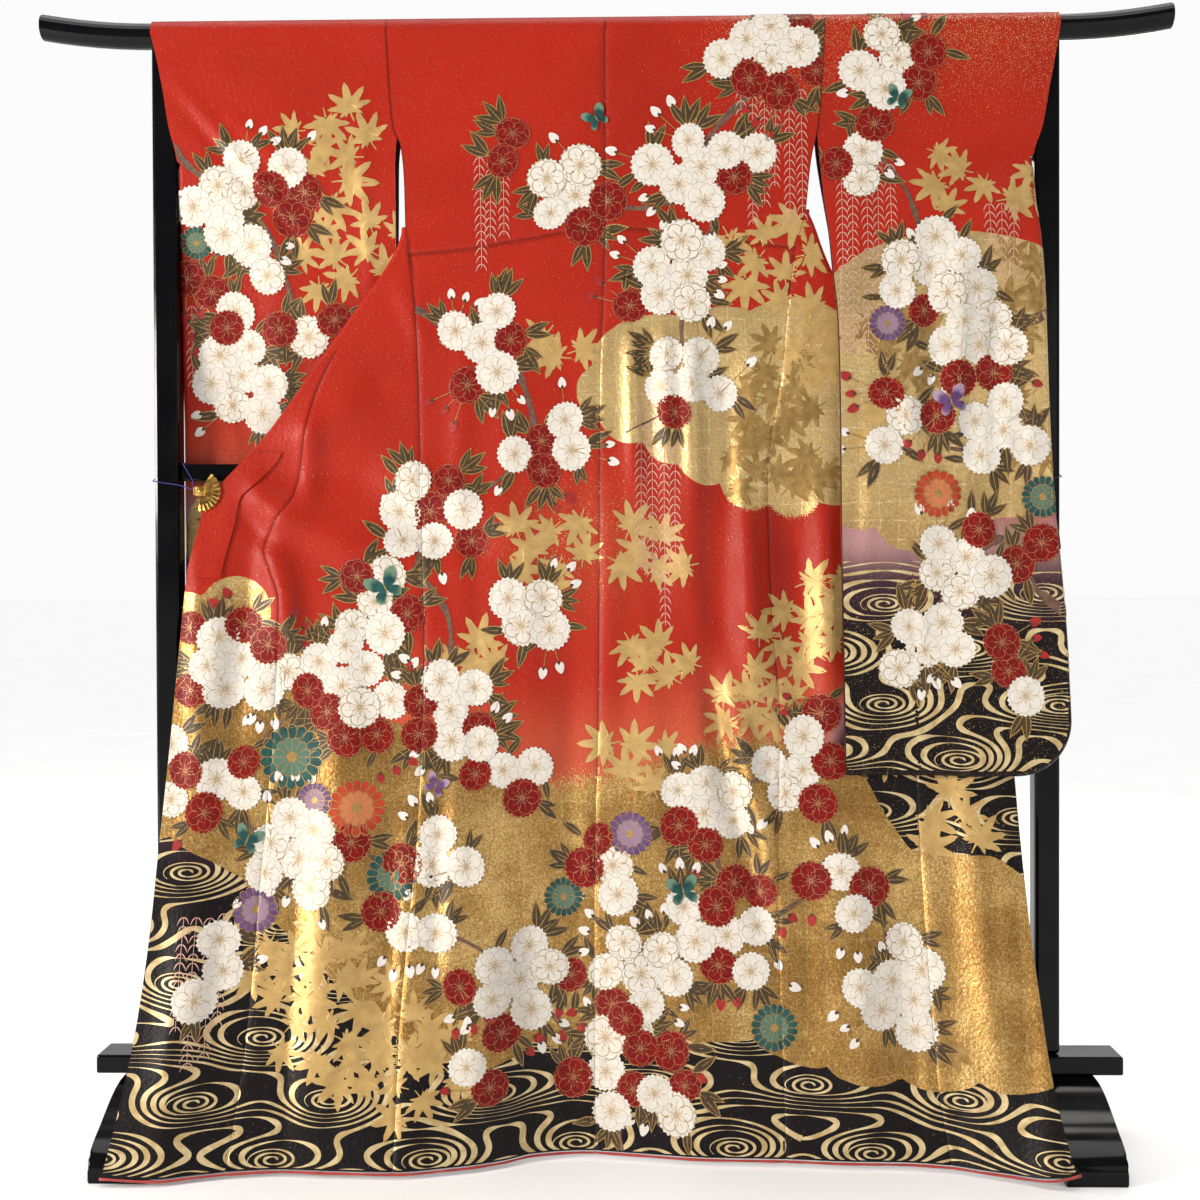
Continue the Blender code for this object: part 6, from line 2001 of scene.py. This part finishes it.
# %% Draw and place the chrysanthemums
def scalloped(count, reach=1.0, notch=0.87):
    """A closed outline of round-ended petals."""
    return [toward(TAU * (k + part) / count, reach * r)
            for k in range(count) for part, r in ((0.0, notch), (0.25, 0.975), (0.5, 1.0), (0.75, 0.975))]


outer_ring, inner_ring = scalloped(18), scalloped(12, 0.6)
outer_patch = patch(outer_ring, (1.0, 0.72, 0.4), (False, True, True))
inner_patch = patch(inner_ring, (1.0, 0.6), (False, True))
heart_patch = patch([toward(TAU * k / 12, 0.17) for k in range(12)], (1.0,), (False,))
petal_gaps = [ribbon([toward(TAU * k / n, a), toward(TAU * k / n, b)], (0.016, 0.03))
              for n, a, b in ((18, 0.56, 0.87), (12, 0.17, 0.52)) for k in range(n)]
chrysanthemum_lines = joined(ribbon(np.array(outer_ring + outer_ring[:1]), 0.03),
                             ribbon(np.array(inner_ring + inner_ring[:1]), 0.026), *petal_gaps)
PAINTS = {
    "teal": (screen(36, 84, 80), screen(22, 60, 60), screen(110, 140, 116)),
    "violet": (screen(104, 72, 118), screen(80, 52, 96), screen(176, 148, 168)),
    "vermilion": (screen(186, 62, 34), screen(160, 44, 24), screen(214, 150, 96)),
}
flower_paints = {name: Ink(f"{name}_petals", petal_paint(f"{name}_paint", *shades))
                 for name, shades in PAINTS.items()}
golden_lines = Ink("chrysanthemum_lines", leaf_gold)
# Rows of (group, across, height, radius, paint)
CHRYSANTHEMUMS = (
    ("body", -0.445, 0.56, 0.046, "teal"), ("body", -0.35, 0.49, 0.04, "vermilion"),
    ("body", -0.3, 0.395, 0.036, "teal"), ("body", -0.49, 0.35, 0.032, "violet"),
    ("body", 0.035, 0.45, 0.032, "violet"), ("body", 0.235, 0.185, 0.033, "teal"),
    ("body", -0.41, 0.5, 0.026, "violet"), ("body", -0.06, 0.36, 0.028, "teal"),
    ("sleeve_right", 0.47, 0.93, 0.034, "vermilion"), ("sleeve_right", 0.618, 0.925, 0.03, "teal"),
    ("sleeve_right", 0.4, 1.17, 0.026, "violet"), ("sleeve_left", -0.59, 1.3, 0.024, "teal"),
    ("sleeve_left", -0.4, 0.9, 0.032, "teal"), ("rear_sleeve_left", -0.56, 0.99, 0.034, "teal"),
    ("rear_sleeve_left", -0.47, 0.8, 0.032, "vermilion"),
    ("rear_sleeve_right", 0.4, 0.99, 0.034, "teal"), ("rear_sleeve_right", 0.57, 0.86, 0.032, "violet"),
    ("rear_body", -0.17, 1.24, 0.03, "teal"), ("rear_body", 0.25, 1.4, 0.03, "violet"))
for number, (group, across, height, radius, paint) in enumerate(CHRYSANTHEMUMS):
    where, turn, lift = (across, height), 0.7 * number, 0.00085 + 0.00006 * (number % 3)
    away = np.linalg.norm(outer_patch[0], axis=1)
    ink = flower_paints[paint]
    ink.stamp(group, outer_patch, where, radius, turn, lift, tint=0.5 * np.exp(-(away / 0.5) ** 2))
    ink.stamp(group, inner_patch, where, radius, turn, lift + 0.00014, tint=0.55)
    golden_lines.stamp(group, heart_patch, where, radius, turn, lift + 0.0003)
    golden_lines.stamp(group, chrysanthemum_lines, where, radius, turn, lift + 0.00026)
print("chrysanthemums:", len(CHRYSANTHEMUMS))

# %% [markdown]
# A butterfly is a fore and a hind wing, their mirror images and a gold body. Each wing is a patch whose
# tint turns it paler towards its tip.

# %% Draw and place the butterflies
wing = patch([(0, 0), (0.12, 0.5), (0.45, 0.95), (0.9, 1.08), (1.12, 0.88), (1.05, 0.45), (0.75, 0.05),
              (0.35, -0.08)], (1.0, 0.5), (False, False))
low_wing = patch([(0, 0), (0.4, -0.06), (0.76, -0.2), (0.9, -0.55), (0.7, -0.86), (0.42, -0.8), (0.15, -0.45),
                  (0.03, -0.15)], (1.0, 0.5), (False, False))
BUTTERFLIES = (
    ("body", -0.315, 0.8, 0.023, 0.5, "teal"), ("body", -0.505, 0.445, 0.018, -0.4, "teal"),
    ("body", 0.11, 0.37, 0.02, 0.2, "teal"), ("body", -0.01, 1.47, 0.016, 0.6, "teal"),
    ("body", -0.24, 0.52, 0.015, -0.5, "violet"), ("sleeve_right", 0.49, 1.06, 0.02, 0.3, "violet"),
    ("sleeve_right", 0.42, 1.495, 0.016, -0.3, "teal"),
    ("rear_sleeve_left", -0.45, 1.18, 0.018, 0.4, "violet"),
    ("rear_sleeve_right", 0.5, 1.19, 0.018, -0.3, "teal"), ("rear_body", 0.13, 1.42, 0.017, 0.3, "teal"))
for group, across, height, size, turn, paint in BUTTERFLIES:
    for mirror in (-1, 1):
        for points, triangles in (wing, low_wing):
            away = np.linalg.norm(points, axis=1)
            flower_paints[paint].stamp(group, (points * (mirror, 1), triangles), (across, height), size,
                                       turn, 0.0024, tint=0.9 * ease(0.75, 1.0, away))
    body_line = np.array([(0, 0.35), (0, 0), (0, -0.4)])
    body_line = placed(body_line, (across, height), size, turn)
    golden_lines.add(group, *ribbon(body_line, (0.0008, 0.0022, 0.0006)), 0.0026)
for ink in (*flower_paints.values(), golden_lines):
    ink.lay()

# %% [markdown]
# ## The lacquered stand
# The stand is wood under many coats of black lacquer. Bar, posts and rails are plain and already right
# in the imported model, so they only need the finish: nearly black, a faint clear coat, and a roughness
# that wavers, because polished lacquer always shows a slight haze and tiny ripples.

# %% Lacquer the stand
lacquer = Finish("black_lacquer")
grain = lacquer.sum("MULTIPLY", lacquer.noise(400), 0.15)
lacquer.bump(lacquer.sum("ADD", lacquer.noise(26, detail=1), grain), 0.00025)
haze = lacquer.noise(14, detail=4, roughness=0.6)
lacquer.set(Base_Color=lacquer.mix(lacquer.spread(haze, 0.4, 0.7), screen(4, 4, 6), screen(10, 9, 11)),
            Roughness=lacquer.spread(haze, 0.35, 0.7, 0.1, 0.22), Coat_Weight=0.12, Coat_Roughness=0.05,
            Specular_IOR_Level=0.12)
STAND = ("top_bar", "post_left", "post_right", "middle_rail", "shelf_rail")
for name in STAND:
    for slot in frame["nodes"][name].material_slots:
        slot.material = lacquer.material
print("lacquered:", ", ".join(STAND))

# %% [markdown]
# The feet are arched blocks, and gloss shows every flat along a curve. So they are made once more with a
# smooth outline: a face on each side, a strip between the two, and a small bevel along both rims.

# %% Arch the feet
def smooth_piece(shape, name, sharp, material, node, slot):
    """Turn a mesh in the making into a smooth piece that stands for a solid."""
    bmesh.ops.recalc_face_normals(shape, faces=shape.faces)
    mesh = bpy.data.meshes.new(name)
    shape.to_mesh(mesh)
    shape.free()
    mesh.shade_smooth()
    mesh.set_sharp_from_angle(angle=math.radians(sharp))
    mesh.materials.append(material)
    own(bpy.data.objects.new(name, mesh), node, slot=slot)


FOOT_TOP = 0.0991
FOOT_STEPS = 26
FOOT_BEVEL = 0.003
# Rows of (height, distance from the plane of the posts)
foot_reach = line(
    (0.0, 0.196), (0.019, 0.196), (0.035, 0.188), (0.047, 0.172), (0.059, 0.146), (0.0755, 0.112),
    (0.0905, 0.075), (FOOT_TOP, 0.036))
for side in SIDES:
    low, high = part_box(f"foot_{side}")
    half = [(float(foot_reach(z)), z) for z in np.linspace(0, FOOT_TOP, FOOT_STEPS)]
    outline = [(-y, z) for y, z in reversed(half)] + half
    shape = bmesh.new()
    near, far = ([shape.verts.new((x, POST_PLANE + y, z)) for y, z in outline] for x in (low.x, high.x))
    ends = [shape.faces.new(near), shape.faces.new(far)]
    for i in range(len(outline)):
        j = (i + 1) % len(outline)
        shape.faces.new((near[i], near[j], far[j], far[i]))
    rim = dict.fromkeys(edge for face in ends for edge in face.edges
                        if max(v.co.z for v in edge.verts) > 0.001)
    bmesh.ops.bevel(shape, geom=list(rim), offset=FOOT_BEVEL, segments=3, profile=0.5, affect="EDGES")
    smooth_piece(shape, f"arched_foot_{side}", 40, lacquer.material, f"foot_{side}", "lacquer")
print("a foot is", round(2 * float(foot_reach(0.0)) * 1000), "mm long")

# %% [markdown]
# ## The fan clips
# A brass clip shaped like an open fan pinches each front near its edge. The fan is a folded sheet: its
# ribs zigzag between a near and a far depth. Bridge, jaw and hub are small blocks with rounded edges,
# and the rivet is a flattened ball, all joined to it in one mesh.

# %% Make the fan clips
FAN_RADIUS = 0.03
FAN_HUB = 0.0062
FAN_RIBS = 11
FAN_NOTCH = 0.945
FAN_SETBACK = 0.0009
FAN_PLEAT = 0.0011
FAN_THICKNESS = 0.0008
RIVET_RADIUS = 0.0036
RIVET_SETBACK = 0.002
FAN_ANGLES = np.radians(np.linspace(-97, 58, 2 * FAN_RIBS + 1))
CLIP_FRONT = -0.029
CLIP_REAR = -0.0164
# Rows for bridge, jaw and hub: inner and outer reach, near and far depth, half the height, rounding
CLIP_BLOCKS = ((0.0045, 0.0105, CLIP_FRONT - 0.0012, CLIP_REAR + 0.001, 0.006, 0.0012),
               (-0.016, 0.0105, CLIP_REAR, CLIP_REAR + 0.0019, 0.007, 0.0008),
               (-0.0075, 0.0075, CLIP_FRONT - 0.002, CLIP_FRONT, 0.0075, 0.0018))
brass = plain_finish("aged_brass", screen(214, 174, 96), screen(158, 118, 54), 0.3, scale=130, grain=900,
                     depth=0.00015, Metallic=0.95)


def block(shape, low, high, rounding):
    """Add a box with rounded edges to a mesh in the making."""
    made = bmesh.ops.create_cube(shape, size=1.0)["verts"]
    for vertex in made:
        vertex.co = Vector([low[i] + (vertex.co[i] + 0.5) * (high[i] - low[i]) for i in range(3)])
    edges = list(dict.fromkeys(edge for vertex in made for edge in vertex.link_edges))
    bmesh.ops.bevel(shape, geom=edges, offset=rounding, segments=3, profile=0.5, affect="EDGES")


for side, sign in SIGN.items():
    middle = Vector((sign * CLIP_ACROSS[side], POST_PLANE, CLIP_HEIGHT))
    shape = bmesh.new()
    rings = []
    for share in np.linspace(0, 1, 7):
        ring = []
        for k, angle in enumerate(FAN_ANGLES):
            edge = FAN_RADIUS * (FAN_NOTCH if k % 2 == 0 else 1.0)
            reach = FAN_HUB + (edge - FAN_HUB) * share
            depth = CLIP_FRONT - FAN_SETBACK - (FAN_PLEAT * share if k % 2 else 0.0)
            ring.append(shape.verts.new(middle + Vector((-sign * reach * math.cos(angle), depth,
                                                         reach * math.sin(angle)))))
        rings.append(ring)
    for near, far in zip(rings, rings[1:]):
        for k in range(len(near) - 1):
            shape.faces.new((near[k], near[k + 1], far[k + 1], far[k]))
    bmesh.ops.solidify(shape, geom=shape.faces[:], thickness=FAN_THICKNESS)
    for start, end, near, far, half, rounding in CLIP_BLOCKS:
        low, high = sorted((sign * start, sign * end))
        block(shape, middle + Vector((low, near, -half)), middle + Vector((high, far, half)), rounding)
    rivet = bmesh.ops.create_uvsphere(shape, u_segments=20, v_segments=10, radius=RIVET_RADIUS)["verts"]
    for vertex in rivet:
        depth = vertex.co.y * 0.5 + CLIP_FRONT - RIVET_SETBACK
        vertex.co = middle + Vector((vertex.co.x, depth, vertex.co.z))
    smooth_piece(shape, f"fan_clip_{side}", 28, brass, f"clip_{side}", "brass")
print("ribs of a fan:", FAN_RIBS)

# %% [markdown]
# ## The threads
# A thread of two twisted plies ties each clip to its post: from the clip round the post, over the rail
# and back. Its route is a chain of points just clear of every face, and two thin strands wind about it.

# %% Tie the threads
THREAD_RADIUS = 0.0008
CLEAR = THREAD_RADIUS + 0.0005
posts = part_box("post_right")
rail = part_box("middle_rail")
POST_IN, POST_OUT = posts[0].x, posts[1].x
POST_FACE = (posts[1].y - posts[0].y) / 2
RAIL_FACE = (rail[1].y - rail[0].y) / 2
RAIL_HIGH = rail[1].z
thread_paint = plain_finish("violet_thread", screen(72, 60, 150), screen(50, 40, 116), 0.6, scale=700,
                            grain=2500)
for side, sign in SIGN.items():
    inner, far = POST_IN - CLEAR, POST_OUT + CLEAR
    face = POST_FACE + CLEAR
    start = CLIP_ACROSS[side] + 0.0105 + CLEAR
    first = CLIP_HEIGHT + 0.009
    above = RAIL_HIGH + CLEAR
    corners = ((start, -0.0245, CLIP_HEIGHT + 0.002), (inner, -face, first),
               ((inner + far) / 2, -face - 0.0004, first + 0.003), (far, -face, first + 0.006),
               (far + 0.0004, 0.0, first + 0.012), (far, face, first + 0.018),
               ((inner + far) / 2, face + 0.0004, first + 0.024), (inner, face, first + 0.03),
               (inner - 0.001, RAIL_FACE + CLEAR, above), (inner - 0.002, 0.0, above + 0.0006),
               (inner - 0.003, -RAIL_FACE - CLEAR, above), (start + 0.002, -0.0205, CLIP_HEIGHT + 0.016),
               (start, -0.0235, CLIP_HEIGHT + 0.0055))
    corners = np.array(corners) * (sign, 1, 1) + (0, POST_PLANE, 0)
    length = np.concatenate([[0], np.cumsum(np.linalg.norm(np.diff(corners, axis=0), axis=1))])
    steps = np.arange(0, length[-1], 0.0009)
    route = np.stack([np.interp(steps, length, corners[:, k]) for k in range(3)], -1)
    curve = bpy.data.curves.new(f"tied_thread_{side}", "CURVE")
    curve.dimensions = "3D"
    curve.bevel_depth = THREAD_RADIUS * 0.55
    curve.bevel_resolution = 2
    curve.use_fill_caps = True
    run = np.gradient(route, axis=0)
    run /= np.linalg.norm(run, axis=1, keepdims=True)
    one = np.cross(run, (0.2, 0.3, 1.0))
    one /= np.linalg.norm(one, axis=1, keepdims=True)
    two = np.cross(run, one)
    twist = steps[:, None] / 0.0034 * TAU
    for ply in (0.0, math.pi):
        strand = route + (one * np.cos(twist + ply) + two * np.sin(twist + ply)) * THREAD_RADIUS * 0.45
        spline = curve.splines.new("POLY")
        spline.points.add(len(strand) - 1)
        spline.points.foreach_set("co", np.column_stack([strand, np.ones(len(strand))]).ravel())
    curve.materials.append(thread_paint)
    own(bpy.data.objects.new(curve.name, curve), f"thread_{side}", slot="thread")
    print(f"thread {side}:", round(float(length[-1]) * 1000), "mm")
